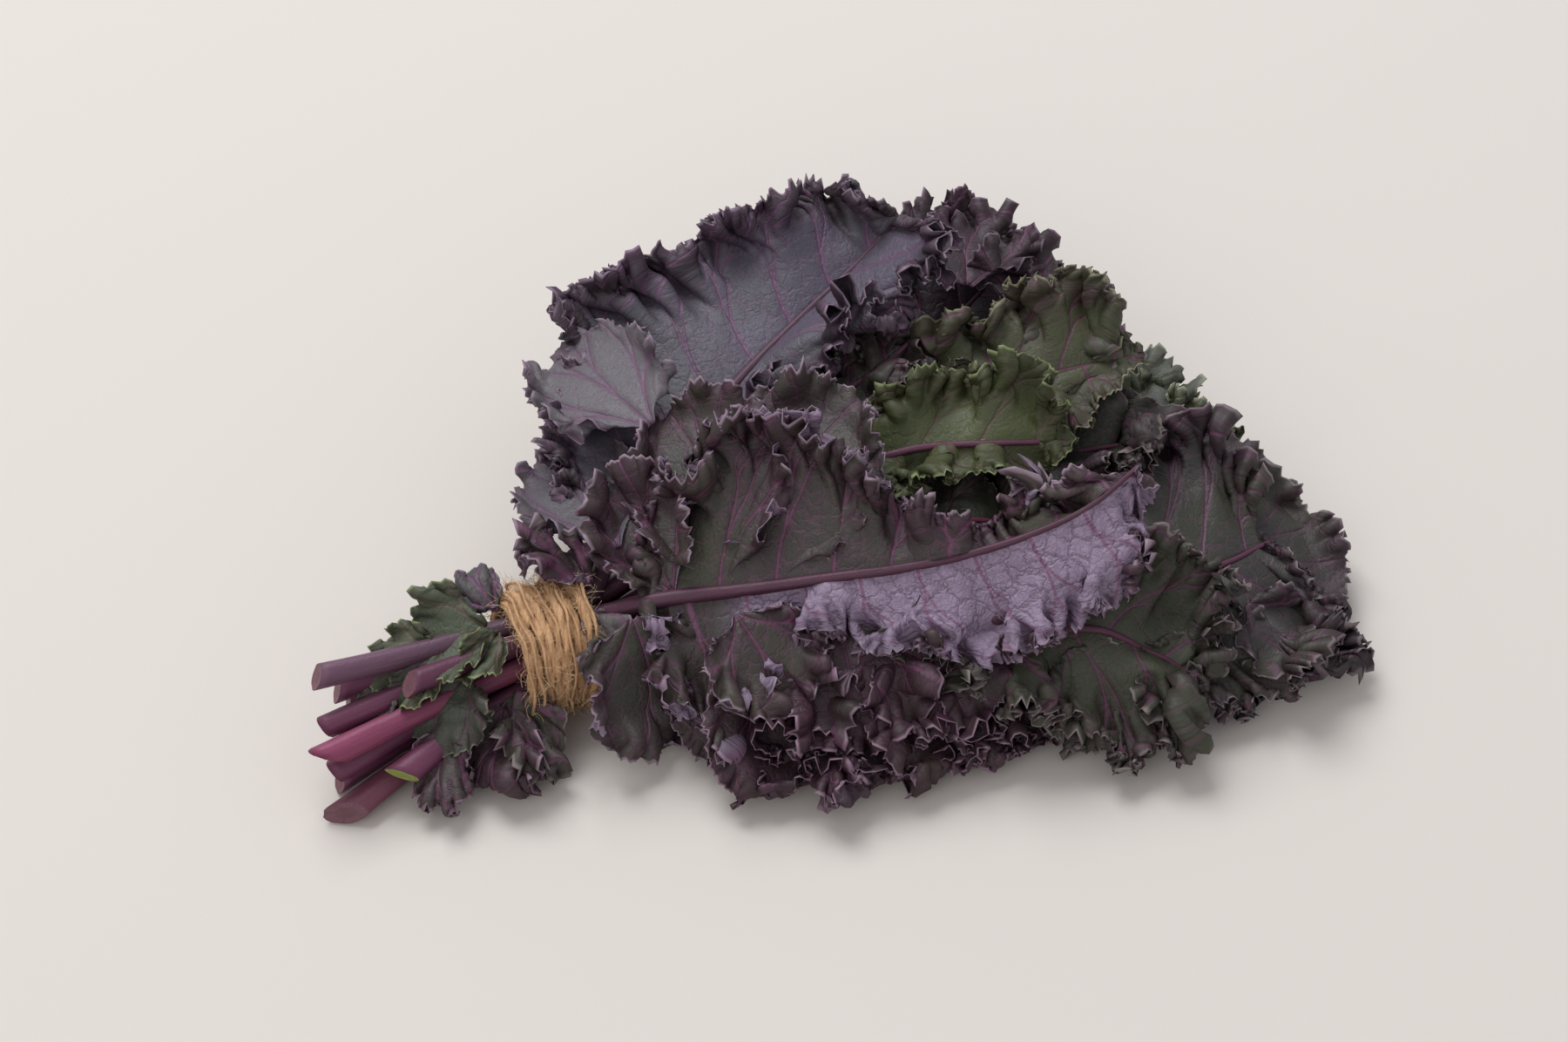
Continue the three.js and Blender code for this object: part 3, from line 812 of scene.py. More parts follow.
STALK = (0.12, 0.028, 0.065)
DUSKY_PITH = (0.2, 0.085, 0.11)
GREEN_PITH = (0.36, 0.42, 0.1)
PURPLE_RIB = (0.14, 0.04, 0.095)


def leaf_finish(name, face, frill, under, rim, green, rib=PURPLE_RIB, stalk=STALK, pith=DUSKY_PITH):
    """Leaf skin: a waxy face with darker frills, a netted underside, purple ribs and a pale rim."""
    skin = Finish(name)
    flat, lines = skin.mark("flat", "Vector"), skin.mark("lines", "Vector")
    margin, upper = skin.mark("margin"), skin.mark("upper")
    stem, cut, fresh = skin.mark("stem"), skin.mark("cut"), skin.mark("fresh")
    greener, paler = skin.mark("green"), skin.mark("pale")
    place = skin.node("TexCoord")["Object"]

    # Side veins, the same lines as vein_distance draws.
    parts = skin.node("SeparateXYZ", None, lines)
    turn, out, gap = parts["X"], parts["Y"], parts["Z"]
    aside = 0.5 - abs(turn.fraction() - 0.5)
    fork = (out - 0.3).at_least(0) * 0.4
    twig = (out - 0.58).at_least(0) * 0.34
    away = abs(abs(aside - fork) - twig) * gap
    vein = (1 - away.ramp(0.1, 1.25 - out * 0.8)) * (1 - out * 0.45)
    halo = 1 - away.ramp(0.3, 4.5)

    clouds = skin.noise(place, 24.0, 4.0)
    blotch = skin.noise(flat, 0.13, 5.0, 0.62)
    specks = skin.noise(flat, 1.1, 3.0, 0.6)
    warp = skin.node("TexNoise", None, Vector=flat, Scale=0.35, Detail=2.0)["Color"]
    bent = skin.node("VectorMath", {"operation": "MULTIPLY_ADD"}, warp, (5.0, 5.0, 5.0), flat)["Vector"]
    net = skin.node("TexVoronoi", {"feature": "DISTANCE_TO_EDGE"}, Vector=bent, Scale=0.14)["Distance"]
    fine_net = skin.node("TexVoronoi", {"feature": "DISTANCE_TO_EDGE"}, Vector=bent, Scale=0.42)["Distance"]
    mesh_lines = 1 - net.ramp(0.0, 0.055)
    fine_lines = 1 - fine_net.ramp(0.0, 0.08)

    frilly = (1 - margin.ramp(3.0, 20.0)) * 0.9 + blotch.ramp(0.5, 0.75) * 0.3
    colour = skin.mix(frilly, face, frill)
    colour = skin.mix(clouds.ramp(0.42, 0.66) * green, colour, (0.042, 0.055, 0.022))
    colour = skin.mix(greener, colour, (0.06, 0.075, 0.05))
    colour = skin.mix(paler, colour, (0.2, 0.175, 0.2))
    colour = skin.mix(specks.ramp(0.4, 0.75) * 0.3, colour, tuple(0.6 * c for c in frill))
    colour = skin.mix(halo * 0.3, colour, blend(face, 0.6, rib, 0.25))
    colour = skin.mix(mesh_lines * 0.28 + fine_lines * 0.1, colour, rib)
    below = skin.mix(blotch.ramp(0.35, 0.7) * 0.6, under, tuple(0.6 * c for c in under))
    below = skin.mix((1 - margin.ramp(2.0, 14.0)) * 0.55, below, blend(under, 0.4, frill, 0.5))
    below = skin.mix(mesh_lines * 0.7 + fine_lines * 0.3, below, blend(under, 0.3, rib, 0.2))
    colour = skin.mix(upper, below, colour)
    colour = skin.mix(vein * 0.8, colour, rib)
    colour = skin.mix((1 - margin.ramp(0.2, 0.85)) * 0.75, colour, tuple(1.5 * c for c in rim))

    streaks = skin.node("Mapping", None, Vector=flat, Scale=(0.03, 0.9, 1.0))["Vector"]
    streak = skin.noise(streaks, 1.4, 4.0, 0.6)
    bark = skin.mix(streak.ramp(0.3, 0.7), stalk, tuple(0.45 * c + 0.012 for c in stalk))
    bark = skin.mix(fresh * 0.4, bark, tuple(1.7 * c for c in stalk))
    colour = skin.mix(stem, colour, bark)
    colour = skin.mix(cut, colour, skin.mix(specks.ramp(0.3, 0.7), tuple(0.6 * c for c in pith), pith))

    netted = (net.ramp(0.0, 0.16) * 1.5 + fine_net.ramp(0.0, 0.2) * 0.5) * (1 - upper * 0.75)
    height = (skin.noise(flat, 0.5, 4.0, 0.6) * 0.6 + netted) * (1 - stem * 0.7) - vein * upper * 0.8
    bump = skin.node("Bump", None, Strength=0.6, Distance=0.0006, Height=height)["Normal"]
    rough = 0.52 + (specks - 0.5) * 0.25 + frilly * 0.06
    return skin.surface(Base_Color=colour, Roughness=rough, Normal=bump, Specular_IOR_Level=0.4)


# Each leaf's colours, and what share of its face turns green in patches.
SKINS = {
    "far_leaf": {
        "face": (0.1, 0.115, 0.048), "frill": (0.06, 0.062, 0.028), "under": (0.12, 0.13, 0.08),
        "rim": (0.2, 0.2, 0.14), "green": 0.5, "rib": (0.12, 0.1, 0.08),
    },
    "front_leaf": {
        "face": (0.036, 0.017, 0.022), "frill": (0.034, 0.014, 0.02), "under": (0.07, 0.042, 0.06),
        "rim": (0.19, 0.12, 0.16), "green": 0.2, "stalk": (0.12, 0.03, 0.055),
    },
    "back_leaf": {
        "face": (0.03, 0.019, 0.025), "frill": (0.024, 0.011, 0.017), "under": (0.055, 0.036, 0.052),
        "rim": (0.13, 0.09, 0.12), "green": 0.1,
    },
    "right_leaf": {
        "face": (0.034, 0.034, 0.03), "frill": (0.03, 0.017, 0.021), "under": (0.065, 0.056, 0.062),
        "rim": (0.14, 0.11, 0.12), "green": 0.6, "pith": GREEN_PITH,
    },
    "fold_leaf": {
        "face": (0.044, 0.052, 0.028), "frill": (0.034, 0.024, 0.021), "under": (0.075, 0.066, 0.062),
        "rim": (0.15, 0.12, 0.12), "green": 0.6, "pith": GREEN_PITH,
    },
    "centre_leaf": {
        "face": (0.03, 0.034, 0.024), "frill": (0.026, 0.019, 0.018), "under": (0.055, 0.05, 0.048),
        "rim": (0.13, 0.11, 0.1), "green": 0.5,
    },
    "arch_leaf": {
        "face": (0.07, 0.08, 0.035), "frill": (0.045, 0.042, 0.023), "under": (0.09, 0.09, 0.055),
        "rim": (0.17, 0.16, 0.1), "green": 0.6,
    },
    "dark_leaf": {
        "face": (0.028, 0.032, 0.02), "frill": (0.023, 0.02, 0.016), "under": (0.045, 0.045, 0.035),
        "rim": (0.11, 0.1, 0.08), "green": 0.6, "rib": (0.09, 0.035, 0.06),
        "stalk": (0.2, 0.035, 0.085), "pith": (0.24, 0.07, 0.12),
    },
    "green_leaf": {
        "face": (0.066, 0.08, 0.028), "frill": (0.048, 0.056, 0.02), "under": (0.085, 0.1, 0.045),
        "rim": (0.15, 0.18, 0.08), "green": 0.6, "rib": (0.1, 0.06, 0.05),
    },
    "inner_leaf": {
        "face": (0.036, 0.034, 0.024), "frill": (0.028, 0.02, 0.017), "under": (0.06, 0.052, 0.045),
        "rim": (0.13, 0.1, 0.1), "green": 0.5,
    },
    "upper_leaf": {
        "face": (0.085, 0.075, 0.105), "frill": (0.035, 0.017, 0.026), "under": (0.1, 0.085, 0.11),
        "rim": (0.17, 0.12, 0.16), "green": 0.25, "rib": (0.17, 0.06, 0.14), "stalk": (0.115, 0.05, 0.085),
    },
    "top_leaf": {
        "face": (0.04, 0.032, 0.03), "frill": (0.036, 0.017, 0.023), "under": (0.29, 0.215, 0.31),
        "rim": (0.2, 0.14, 0.18), "green": 0.55, "rib": (0.15, 0.04, 0.1), "stalk": (0.09, 0.022, 0.05),
    },
}

# How a half of a blade grows unless LOOKS says otherwise. underside is whether it is rolled over, and
# rolls the shares of the margin between which it turns. frill multiplies the height of its frills and
# depth how far from the margin they start; least is the lowest share of their height where room is
# short. curl is how far the margin curls up, lobe how long its lobes are and bay how deep the bays
# between them, in millimetres. bays are extra deep ones: how far along the margin, how deep and how
# broad. climb is how steeply the blade may rise from its rib. green and pale are how far its colours
# go towards green and towards a pale grey.
USUAL = {
    "underside": False, "depth": 1.0, "least": 0.15, "curl": 3.0, "frill": 1.0, "lobe": 34.0, "bay": 6.0,
    "bays": (), "climb": 9.0, "green": 0.0, "pale": 0.0, "rolls": (-2.0, -1.0),
}

# How each half of a blade differs from the usual.
LOOKS = {
    "far_leaf": ({"green": 0.4}, {"green": 0.4}),
    "front_leaf": ({}, {"depth": 1.6, "least": 0.4}),
    "back_leaf": ({"depth": 1.5}, {"depth": 1.3}),
    "right_leaf": ({}, {"depth": 1.3, "least": 0.3}),
    "fold_leaf": ({"depth": 1.3, "green": 0.2}, {"depth": 1.5, "green": 0.2, "least": 0.35}),
    "centre_leaf": ({"depth": 1.3}, {"depth": 1.3}),
    "arch_leaf": ({"depth": 1.2}, {"depth": 1.2}),
    "dark_leaf": ({"depth": 0.8}, {"depth": 0.8}),
    "inner_leaf": ({"depth": 1.2, "climb": 0.3}, {"depth": 1.2, "climb": 0.3}),
    "top_leaf": (
        {"curl": 6.0, "bays": ((62.0, 12.0, 6.0), (118.0, 10.0, 7.0)), "lobe": 44.0},
        {"underside": True, "curl": -2.0, "lobe": 36.0, "frill": 1.25, "least": 0.3, "rolls": (0.17, 0.27)},
    ),
    "upper_leaf": (
        {"curl": 5.0, "bays": ((96.0, 24.0, 7.0),), "depth": 1.35, "least": 0.4},
        {"curl": 5.0, "lobe": 38.0, "depth": 0.85, "bay": 1.0},
    ),
}

# How far a blade's tip is drawn back where its frills curl under.
TIP_CURL = {"right_leaf": (-11.0, 3.0, 0.0), "far_leaf": (-3.0, 0.0, 0.0)}


def lobe(root, tip, flank, spread=70, breadth=0.62, **look):
    """A small lobe: its root, as a place or a share of the midrib, its tip and a point on one flank."""
    return {"root": root, "tip": tip, "flank": flank, "spread": spread, "breadth": breadth, **look}


LOBES = {
    "upper_leaf": (
        lobe((-57, 34, 70), (-73, 101, 68), (-45, 98, 76), spread=55, depth=0.42, green=0.6, pale=0.42),
        lobe((-86, 0, 52), (-88, 68, 50), (-66, 62, 54), spread=52, depth=0.45, green=0.35, pale=0.12),
        lobe((-133, 3, 39), (-135, 22, 40), (-148, 10, 37), green=0.7),
    ),
    "top_leaf": (
        lobe((-92, -24, 46), (-90, -58, 8), (-66, -40, 24), breadth=0.8, green=0.25),
        lobe(0.24, (-2, 22, 88), (16, -12, 84), spread=62, depth=0.45, green=0.25),
        lobe(0.13, (-40, 36, 86), (-24, 16, 86), spread=60, depth=0.45),
        lobe(0.05, (-76, 24, 66), (-55, 9, 70), spread=62, depth=0.5),
        lobe((-104, -12, 41), (-99, -27, 33), (-88, -16, 38), green=0.9, pale=0.3),
        lobe((-98, -4, 45), (-113, 17, 44), (-100, 22, 44)),
        lobe((-60, -42, 50), (-52, -78, 34), (-34, -70, 40), breadth=0.8),
    ),
    "green_leaf": (
        lobe((-138, -4, 40), (-168, 2, 38), (-158, 12, 40), green=0.8, breadth=0.95),
        lobe((-156, -4, 38), (-184, -3, 32), (-178, 8, 36), green=0.7, breadth=0.9),
        lobe((-136, -8, 40), (-154, -20, 36), (-158, -8, 40), green=0.8),
    ),
    "dark_leaf": (
        lobe((-150, -14, 34), (-178, -25, 22), (-166, -36, 20), green=0.6, breadth=0.9),
        lobe((-176, -8, 28), (-196, -13, 24), (-190, -2, 26), green=0.5),
    ),
    "front_leaf": (
        lobe((-142, -24, 22), (-158, -44, 4), (-142, -46, 6), breadth=0.85, green=0.1),
        lobe((-164, -26, 22), (-176, -42, 5), (-162, -44, 6), green=0.4),
        lobe((-50, -42, 36), (-68, -80, 5), (-48, -84, 8), breadth=0.9, green=0.3),
        lobe((-36, -48, 36), (-50, -106, 5), (-28, -106, 8), breadth=0.9),
        lobe((-14, -58, 36), (-20, -115, 5), (2, -112, 8), breadth=0.9),
        lobe((8, -64, 36), (6, -116, 5), (26, -112, 8), breadth=0.9),
        lobe((26, -70, 34), (34, -117, 5), (50, -112, 8), breadth=0.9),
        lobe((-26, -54, 40), (-34, -98, 24), (-16, -98, 28), breadth=0.9),
        lobe((0, -60, 42), (-2, -104, 26), (16, -102, 30), breadth=0.9),
    ),
    "fold_leaf": (
        lobe((-134, -22, 24), (-138, -44, 5), (-124, -42, 8), green=0.3),
        lobe((44, -94, 34), (54, -114, 6), (68, -108, 8), breadth=0.9, green=0.35),
        lobe((72, -100, 30), (80, -118, 5), (94, -112, 8), breadth=0.9, green=0.3),
    ),
    "right_leaf": (
        lobe(0.42, (168, -80, 35), (162, -104, 30), spread=58, depth=0.5, green=0.1),
        lobe(0.2, (160, -60, 42), (172, -86, 36), spread=58, depth=0.5, green=0.1),
        lobe((96, -100, 30), (108, -120, 5), (122, -110, 8), breadth=0.9, green=0.25),
        lobe((116, -98, 28), (130, -116, 5), (142, -102, 8), breadth=0.9, green=0.15),
    ),
    "back_leaf": (
        lobe((84, 62, 58), (104, 104, 62), (124, 92, 58), breadth=0.9),
        lobe((98, 44, 52), (132, 72, 54), (140, 50, 50), breadth=0.9),
        lobe((96, 26, 50), (132, 36, 46), (136, 20, 46), breadth=0.9),
    ),
    "arch_leaf": (
        lobe((96, 8, 62), (116, 34, 58), (130, 20, 56), breadth=0.9, green=0.6),
        lobe((70, 14, 62), (78, 42, 62), (96, 36, 60), breadth=0.9, green=0.6),
    ),
    "far_leaf": (
        lobe((128, 4, 18), (150, 34, 16), (162, 18, 14), breadth=0.9, green=1.0, pale=0.25),
    ),
}

# ---------------------------------------------------------------- the add-on


class KaleSettings(bpy.types.PropertyGroup):
    """The sizes and the colour that a user would change."""

    grain: bpy.props.FloatProperty(
        name="Grain", description="Distance between points along a leaf's margin",
        default=0.27 * MM, unit="LENGTH",
    )
    frill_share: bpy.props.FloatProperty(
        name="Frill", description="How high the frills stand, as a share of full curl",
        default=1.0, subtype="FACTOR",
    )
    turns: bpy.props.IntProperty(
        name="Turns", description="Turns of twine round the stems", default=9, min=1,
    )
    fuzz: bpy.props.FloatProperty(
        name="Fuzz", description="Hairs on a square metre of twine", default=150000.0,
    )
    hair: bpy.props.FloatProperty(
        name="Hair length", description="Usual length of a hair", default=5.2 * MM, unit="LENGTH",
    )
    jute: bpy.props.FloatVectorProperty(
        name="Jute", description="Colour of the twine", default=(0.78, 0.47, 0.25), subtype="COLOR",
    )


def others_than(name):
    """A tree of every CAD leaf but one, to keep frills out of the neighbours."""
    points, faces, count = [], [], 0
    for other in (*LEAVES, "twine_binding"):
        if other == name:
            continue
        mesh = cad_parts[other].data
        points += [v.co.copy() for v in mesh.vertices]
        faces += [[count + i for i in p.vertices] for p in mesh.polygons]
        count += len(mesh.vertices)
    return BVHTree.FromPolygons(points, faces)


def grow(name, settings):
    """One leaf with its stem and its lobes, grown over its CAD leaf."""
    leaf = LEAVES[name]
    seed = 100 * (list(LEAVES).index(name) + 1)
    grain = settings.grain / MM
    sections = blade_sections(name, leaf)
    curled = smooth_step(0.55, 1.0, np.linspace(0, 1, BLADE_STATIONS))[:, None, None]
    sections = sections + curled * np.array(TIP_CURL.get(name, (0, 0, 0)))
    others = others_than(name)
    solid = Solid()
    add_stem(solid, leaf, sections, seed)
    for left, own in zip((True, False), LOOKS.get(name, ({}, {}))):
        look = {**USUAL, **own}
        look["frill"] *= settings.frill_share
        half_blade(solid, sections, left, others, grain, seed + 7 * left, look)
    for number, small in enumerate(LOBES.get(name, ())):
        add_lobe(solid, small, sections, others, grain, seed + 20 + number, settings.frill_share)
    piece = solid.piece(name + "_grown", leaf_finish(name + "_skin", **SKINS[name]))
    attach(piece, BODY)
    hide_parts(name)
    return piece


class KALE_OT_leaves(bpy.types.Operator):
    """Grow every leaf of the bunch over its CAD leaf"""

    bl_idname = "kale.leaves"
    bl_label = "Grow leaves"

    def execute(self, context):
        for name in LEAVES:
            grow(name, context.scene.kale)
        return {"FINISHED"}


# ---------------------------------------------------------------- the twine

WINDING_RADIUS = 20.4
WINDING_REACH = 13.5  # half the length of stem that the turns cover
CROSSING_TURNS = 2.2  # turns that go back over the others
TWINE_DIAMETER = 3.0
PLY_TWIST = 19.0  # length of twine in which its two plies go once round each other
PLY_OFFSET = 0.17  # from the twine's middle to a ply's, as a share of the twine's diameter
PLY_RADIUS = 0.45  # the same way
PLY_SIDES = 8
LOOSE_STRANDS = 3
STRAND_RISE = 4.2  # how far a loose strand strays outwards
STRAND_SHARE = 0.42  # a loose strand's thickness, as a share of a ply's
HAIR_THICKNESS = 0.055
LOWEST_ROOT = 4.0  # no hair is rooted lower, where it would reach the table


def winding(settings, shift=0.0, rise=0.0):
    """The middle line of the twine: turn beside turn round the stems, then back across the top.

    With a shift and a rise it is the line of a loose strand that strays over the turns.
    """
    turns = settings.turns
    turned = np.linspace(-0.12, turns + CROSSING_TURNS, int(turns * 170))
    angle = 2 * np.pi * turned + 0.6
    stops = [0, turns, turns + 0.6, turns + CROSSING_TURNS]
    along_stems = np.interp(turned, stops, [-WINDING_REACH, WINDING_REACH, 9.0, -10.0])
    along_stems = along_stems + 1.6 * np.sin(angle + 0.5) + 1.1 * wander(turned * 4.3, 41) + shift
    radius = WINDING_RADIUS + 0.9 * wander(turned * 6, 43) + 0.35 * wander(turned * 17, 44)
    radius = radius + 1.5 * smooth_step(turns - 0.1, turns + 0.4, turned)
    radius = radius + 0.5 * rise * (1 + wander(turned * 2.3 + 9 * shift, 47))
    ends = np.minimum(turned - turned[0], turned[-1] - turned)
    radius = radius - 1.6 * smooth_step(0.12, 0.0, ends)
    round_stems = np.stack([along_stems, radius * np.cos(angle), radius * np.sin(angle)], axis=-1)
    return round_stems + TIE + BENCH


def add_ply(solid, path, start, seed, share=1.0):
    """One of the twine's two plies, twisted round the twine's middle line, or a thinner strand of it."""
    ways = unit(np.gradient(path, axis=0))
    outward = path - (TIE + BENCH)
    outward = unit(outward - ways * (outward * ways).sum(axis=1, keepdims=True))
    aside = np.cross(ways, outward)
    distance = walked(path)
    turn = 2 * np.pi * (distance / PLY_TWIST + 0.25 * wander(distance / 30, 45)) + start
    offset = PLY_OFFSET * TWINE_DIAMETER
    middle = path + offset * (outward * np.cos(turn)[:, None] + aside * np.sin(turn)[:, None])
    middle[:, 2] = np.maximum(middle[:, 2], 1.0)
    sides = PLY_SIDES
    uneven = 1 + 0.16 * wander(distance / 6, seed) + 0.1 * wander(distance / 1.7, seed + 1)
    thick = PLY_RADIUS * share * TWINE_DIAMETER * uneven
    thick = thick * smooth_step(-0.5, 3.0, np.minimum(distance, distance[-1] - distance))
    angle = np.linspace(0, 2 * np.pi, sides, endpoint=False)[None, :] + turn[:, None]
    ring = outward[:, None] * np.cos(angle)[..., None] + aside[:, None] * np.sin(angle)[..., None]
    rings = middle[:, None] + ring * (thick[:, None] * (1 + 0.1 * np.sin(3 * angle)))[..., None]
    number = len(path)
    points = np.concatenate([rings.reshape(-1, 3), [middle[0], middle[-1]]])
    faces = tube_faces(number, sides, number * sides, number * sides + 1)
    over = np.tile(np.arange(sides) / sides * 6.0, number)
    flat = np.stack([np.repeat(distance, sides), over, np.full(number * sides, seed * 1.0)], axis=-1)
    solid.add(points, faces, np.concatenate([flat, [[0, 0, 0], [distance[-1], 0, 0]]]))


def jute_finish(settings):
    """Golden tan bast fibres that run along the ply, with dark gaps and pale strands."""
    jute = Finish("jute_fibre")
    flat = jute.mark("flat", "Vector")
    place = jute.node("TexCoord")["Object"]
    lay = {"Rotation": (0.0, 0.0, 0.5), "Scale": (0.22, 2.4, 1.0)}
    lean = jute.node("Mapping", None, Vector=flat, **lay)["Vector"]
    strands = jute.noise(lean, 1.6, 4.0, 0.65)
    hairs = jute.noise(lean, 5.0, 3.0, 0.6)
    patches = jute.noise(place, 120.0, 3.0)
    light, base, dark = (0.95, 0.68, 0.44), tuple(settings.jute), (0.5, 0.25, 0.11)
    colour = jute.mix(strands.ramp(0.32, 0.55), dark, base)
    colour = jute.mix(hairs.ramp(0.5, 0.75) * 0.7, colour, light)
    colour = jute.mix(patches.ramp(0.5, 0.75) * 0.35, colour, (0.34, 0.19, 0.08))
    bump = jute.node("Bump", None, Strength=0.8, Distance=0.0005, Height=strands + hairs * 0.6)["Normal"]
    return jute.surface(Base_Color=colour, Roughness=0.75 + strands * 0.2, Normal=bump)


def hair_finish():
    """Loose hairs that go from pale straw to brown from place to place."""
    hair = Finish("jute_hair")
    patches = hair.noise(hair.node("TexCoord")["Object"], 300.0, 2.0)
    colour = hair.mix(patches.ramp(0.35, 0.65), (0.86, 0.62, 0.36), (0.5, 0.3, 0.15))
    return hair.surface(Base_Color=colour, Roughness=0.7 + patches * 0.2)


def fuzz_tree(material):
    """A tree that plants short curved hairs over a surface."""
    tree = bpy.data.node_groups.new("jute_fuzz", "GeometryNodeTree")
    face = tree.interface
    face.new_socket("Geometry", in_out="INPUT", socket_type="NodeSocketGeometry")
    for name in ("Density", "Hair Length", "Hair Thickness", "Lowest Root"):
        face.new_socket(name, in_out="INPUT", socket_type="NodeSocketFloat")
    face.new_socket("Geometry", in_out="OUTPUT", socket_type="NodeSocketGeometry")

    def add(kind, values=(), **settings):
        made = tree.nodes.new(kind)
        for key, value in settings.items():
            setattr(made, key, value)
        for key, value in dict(values).items():
            if isinstance(value, bpy.types.NodeSocket):
                tree.links.new(value, made.inputs[key])
            else:
                made.inputs[key].default_value = value
        return made

    given = tree.nodes.new("NodeGroupInput").outputs
    scatter = add("GeometryNodeDistributePointsOnFaces", {
        "Mesh": given["Geometry"], "Density": given["Density"], "Seed": 5,
    })
    height = add("ShaderNodeSeparateXYZ", {0: add("GeometryNodeInputPosition").outputs[0]})
    low = add("ShaderNodeMath", {0: height.outputs["Z"], 1: given["Lowest Root"]}, operation="LESS_THAN")
    points = scatter.outputs["Points"]
    roots = add("GeometryNodeDeleteGeometry", {0: points, 1: low.outputs[0]}, domain="POINT")
    length = given["Hair Length"]
    stand = add("ShaderNodeCombineXYZ", {"Z": length})
    bend = add("ShaderNodeVectorMath", {0: stand.outputs[0], 1: (0.75, 0.2, 0.55)}, operation="MULTIPLY")
    aside = add("ShaderNodeCombineXYZ", {"X": length, "Z": length})
    tip = add("ShaderNodeVectorMath", {0: aside.outputs[0], 1: (0.85, 0.0, 0.6)}, operation="MULTIPLY")
    hair = add("GeometryNodeCurveQuadraticBezier", {
        "Resolution": 5, "Start": (0.0, 0.0, 0.0), "Middle": bend.outputs[0], "End": tip.outputs[0],
    })
    ring = add("GeometryNodeCurvePrimitiveCircle", {"Resolution": 3, "Radius": given["Hair Thickness"]})
    strand = add("GeometryNodeCurveToMesh", {
        "Curve": hair.outputs[0], "Profile Curve": ring.outputs[0], "Fill Caps": True,
    })
    span = {"Min": (-0.5, -0.5, 0.0), "Max": (0.5, 0.5, 6.283), "Seed": 7}
    turn = add("FunctionNodeRandomValue", span, data_type="FLOAT_VECTOR")
    size = add("FunctionNodeRandomValue", {2: 0.35, 3: 1.5, "Seed": 9}, data_type="FLOAT")
    both = {"Rotation": scatter.outputs["Rotation"], "Rotate By": turn.outputs[0]}
    tilt = add("FunctionNodeRotateRotation", both, rotation_space="LOCAL")
    plant = add("GeometryNodeInstanceOnPoints", {
        "Points": roots.outputs[0], "Instance": strand.outputs[0],
        "Rotation": tilt.outputs[0], "Scale": size.outputs[1],
    })
    real = add("GeometryNodeRealizeInstances", {"Geometry": plant.outputs[0]})
    finish = add("GeometryNodeSetMaterial", {"Geometry": real.outputs[0], "Material": material})
    tree.links.new(finish.outputs[0], tree.nodes.new("NodeGroupOutput").inputs[0])
    return tree


def grown_by(name, base, tree, **values):
    """The plain mesh that a Geometry Nodes tree makes of a base object, as a new object."""
    modifier = base.modifiers.new("grow", "NODES")
    modifier.node_group = tree
    for item in tree.interface.items_tree:
        if item.in_out == "INPUT" and item.name in values:
            modifier[item.identifier] = values[item.name]
    ready = base.evaluated_get(bpy.context.evaluated_depsgraph_get())
    mesh = bpy.data.meshes.new_from_object(ready)
    mesh.name = name
    base.modifiers.remove(modifier)
    made = bpy.data.objects.new(name, mesh)
    bpy.context.scene.collection.objects.link(made)
    return made


class KALE_OT_twine(bpy.types.Operator):
    """Wind the two-ply jute twine round the stems and raise its fuzz"""

    bl_idname = "kale.twine"
    bl_label = "Wind twine"

    def execute(self, context):
        settings = context.scene.kale
        jute = jute_finish(settings)
        solid = Solid()
        path = winding(settings)
        for number in range(2):
            add_ply(solid, path, np.pi * number, 50 + 10 * number)
        stretch_length = len(path) // LOOSE_STRANDS
        for number in range(LOOSE_STRANDS):
            start = number * stretch_length
            strand = winding(settings, 1.3 * number - 1.0, STRAND_RISE)[start:start + stretch_length:2]
            add_ply(solid, strand, 2.0 * number, 80 + 10 * number, STRAND_SHARE)
        twine = solid.piece("twine_winding", jute)
        bpy.context.view_layer.update()
        values = {
            "Density": settings.fuzz, "Hair Length": settings.hair,
            "Hair Thickness": HAIR_THICKNESS * MM, "Lowest Root": LOWEST_ROOT * MM,
        }
        fuzz = grown_by("twine_fuzz", twine, fuzz_tree(hair_finish()), **values)
        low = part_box("twine_binding")[0][2]
        lowest = max(low - MM, 0.4 * MM)
        points = np.empty(len(fuzz.data.vertices) * 3, np.float32)
        fuzz.data.vertices.foreach_get("co", points)
        points[2::3] = np.maximum(points[2::3], lowest)
        fuzz.data.vertices.foreach_set("co", points)
        for piece in (twine, fuzz):
            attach(piece, BODY)
            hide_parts("twine_binding")
        return {"FINISHED"}


# ---------------------------------------------------------------- the stage

LENS_MM = 76.96
SENSOR_MM = 36.0
EYE = (-366.2, -739.2, 943.7)
AIM = (-7.2, 30.9, 0.0)
TABLE_REACH = 3.0  # metres from the middle of the table to its edges
TABLE_PAINT = (0.645, 0.595, 0.551)
# Each light's place and size in metres, its power in watts and its colour.
LIGHTS = {
    "window": ((-0.1, 1.8, 2.9), 2.0, 92.0, (0.96, 0.98, 1.0)),
    "fill": ((-1.9, -1.4, 1.9), 1.8, 14.0, (1.0, 0.95, 0.9)),
}
ROOM_COLOUR = (0.93, 0.95, 1.0, 1.0)
ROOM_STRENGTH = 0.56


def turn_towards(thing, eye, aim):
    """Puts a camera or a lamp at eye and points it at aim."""
    eye, aim = Vector(eye), Vector(aim)
    thing.matrix_world = Matrix.Translation(eye) @ (aim - eye).to_track_quat("-Z", "Y").to_matrix().to_4x4()


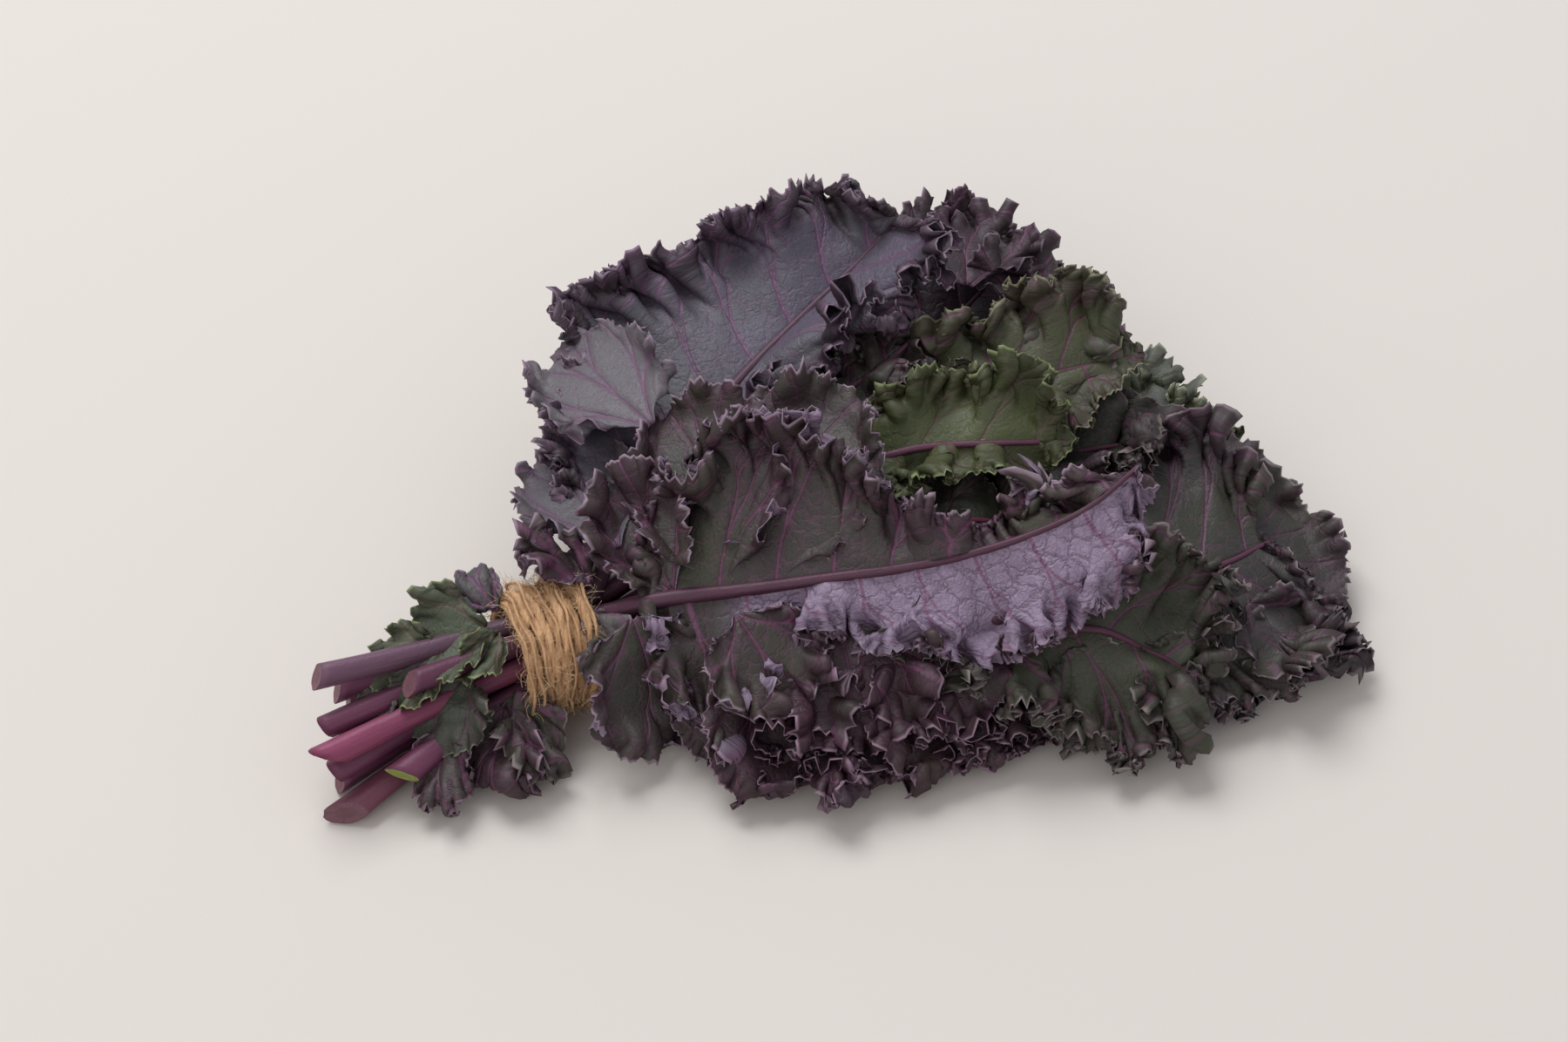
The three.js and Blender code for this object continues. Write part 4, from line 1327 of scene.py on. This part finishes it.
class KALE_OT_stage(bpy.types.Operator):
    """Set the table, the light and the camera"""

    bl_idname = "kale.stage"
    bl_label = "Set stage"

    def execute(self, context):
        scene = context.scene
        mesh = bpy.data.meshes.new("table")
        corners = [(x * TABLE_REACH, y * TABLE_REACH, 0) for x, y in ((-1, -1), (1, -1), (1, 1), (-1, 1))]
        mesh.from_pydata(corners, [], [(0, 1, 2, 3)])
        table = bpy.data.objects.new("table", mesh)
        mesh.materials.append(Finish("table_paint").surface(Base_Color=TABLE_PAINT, Roughness=1.0))
        scene.collection.objects.link(table)

        lens = bpy.data.cameras.new("camera")
        lens.lens = LENS_MM
        lens.sensor_width = SENSOR_MM
        camera = bpy.data.objects.new("camera", lens)
        scene.collection.objects.link(camera)
        turn_towards(camera, (np.array(EYE) + BENCH) * MM, (np.array(AIM) + BENCH) * MM)
        scene.camera = camera

        for name, (place, size, power, tint) in LIGHTS.items():
            data = bpy.data.lights.new(name, "AREA")
            data.size, data.energy, data.color = size, power, tint
            lamp = bpy.data.objects.new(name, data)
            scene.collection.objects.link(lamp)
            turn_towards(lamp, place, (0, 0, 0))
        world = bpy.data.worlds.new("room")
        world.use_nodes = True
        light = world.node_tree.nodes["Background"].inputs
        light["Color"].default_value = ROOM_COLOUR
        light["Strength"].default_value = ROOM_STRENGTH
        scene.world = world
        scene.view_settings.view_transform = "Standard"
        return {"FINISHED"}


class KALE_PT_panel(bpy.types.Panel):
    """Lists the settings and the steps in the 3D view's sidebar"""

    bl_label = "Kale bunch"
    bl_space_type = "VIEW_3D"
    bl_region_type = "UI"
    bl_category = "Kale"

    def draw(self, context):
        for name in KaleSettings.__annotations__:
            self.layout.prop(context.scene.kale, name)
        for operator in OPERATORS:
            self.layout.operator(operator.bl_idname)


OPERATORS = (KALE_OT_stage, KALE_OT_leaves, KALE_OT_twine)
CLASSES = (KaleSettings, *OPERATORS, KALE_PT_panel)


def register():
    for made in CLASSES:
        bpy.utils.register_class(made)
    bpy.types.Scene.kale = bpy.props.PointerProperty(type=KaleSettings)


def unregister():
    del bpy.types.Scene.kale
    for made in reversed(CLASSES):
        bpy.utils.unregister_class(made)


def main():
    register()
    for step in ("stage", "leaves", "twine"):
        getattr(bpy.ops.kale, step)()


if __name__ == "__main__":
    main()
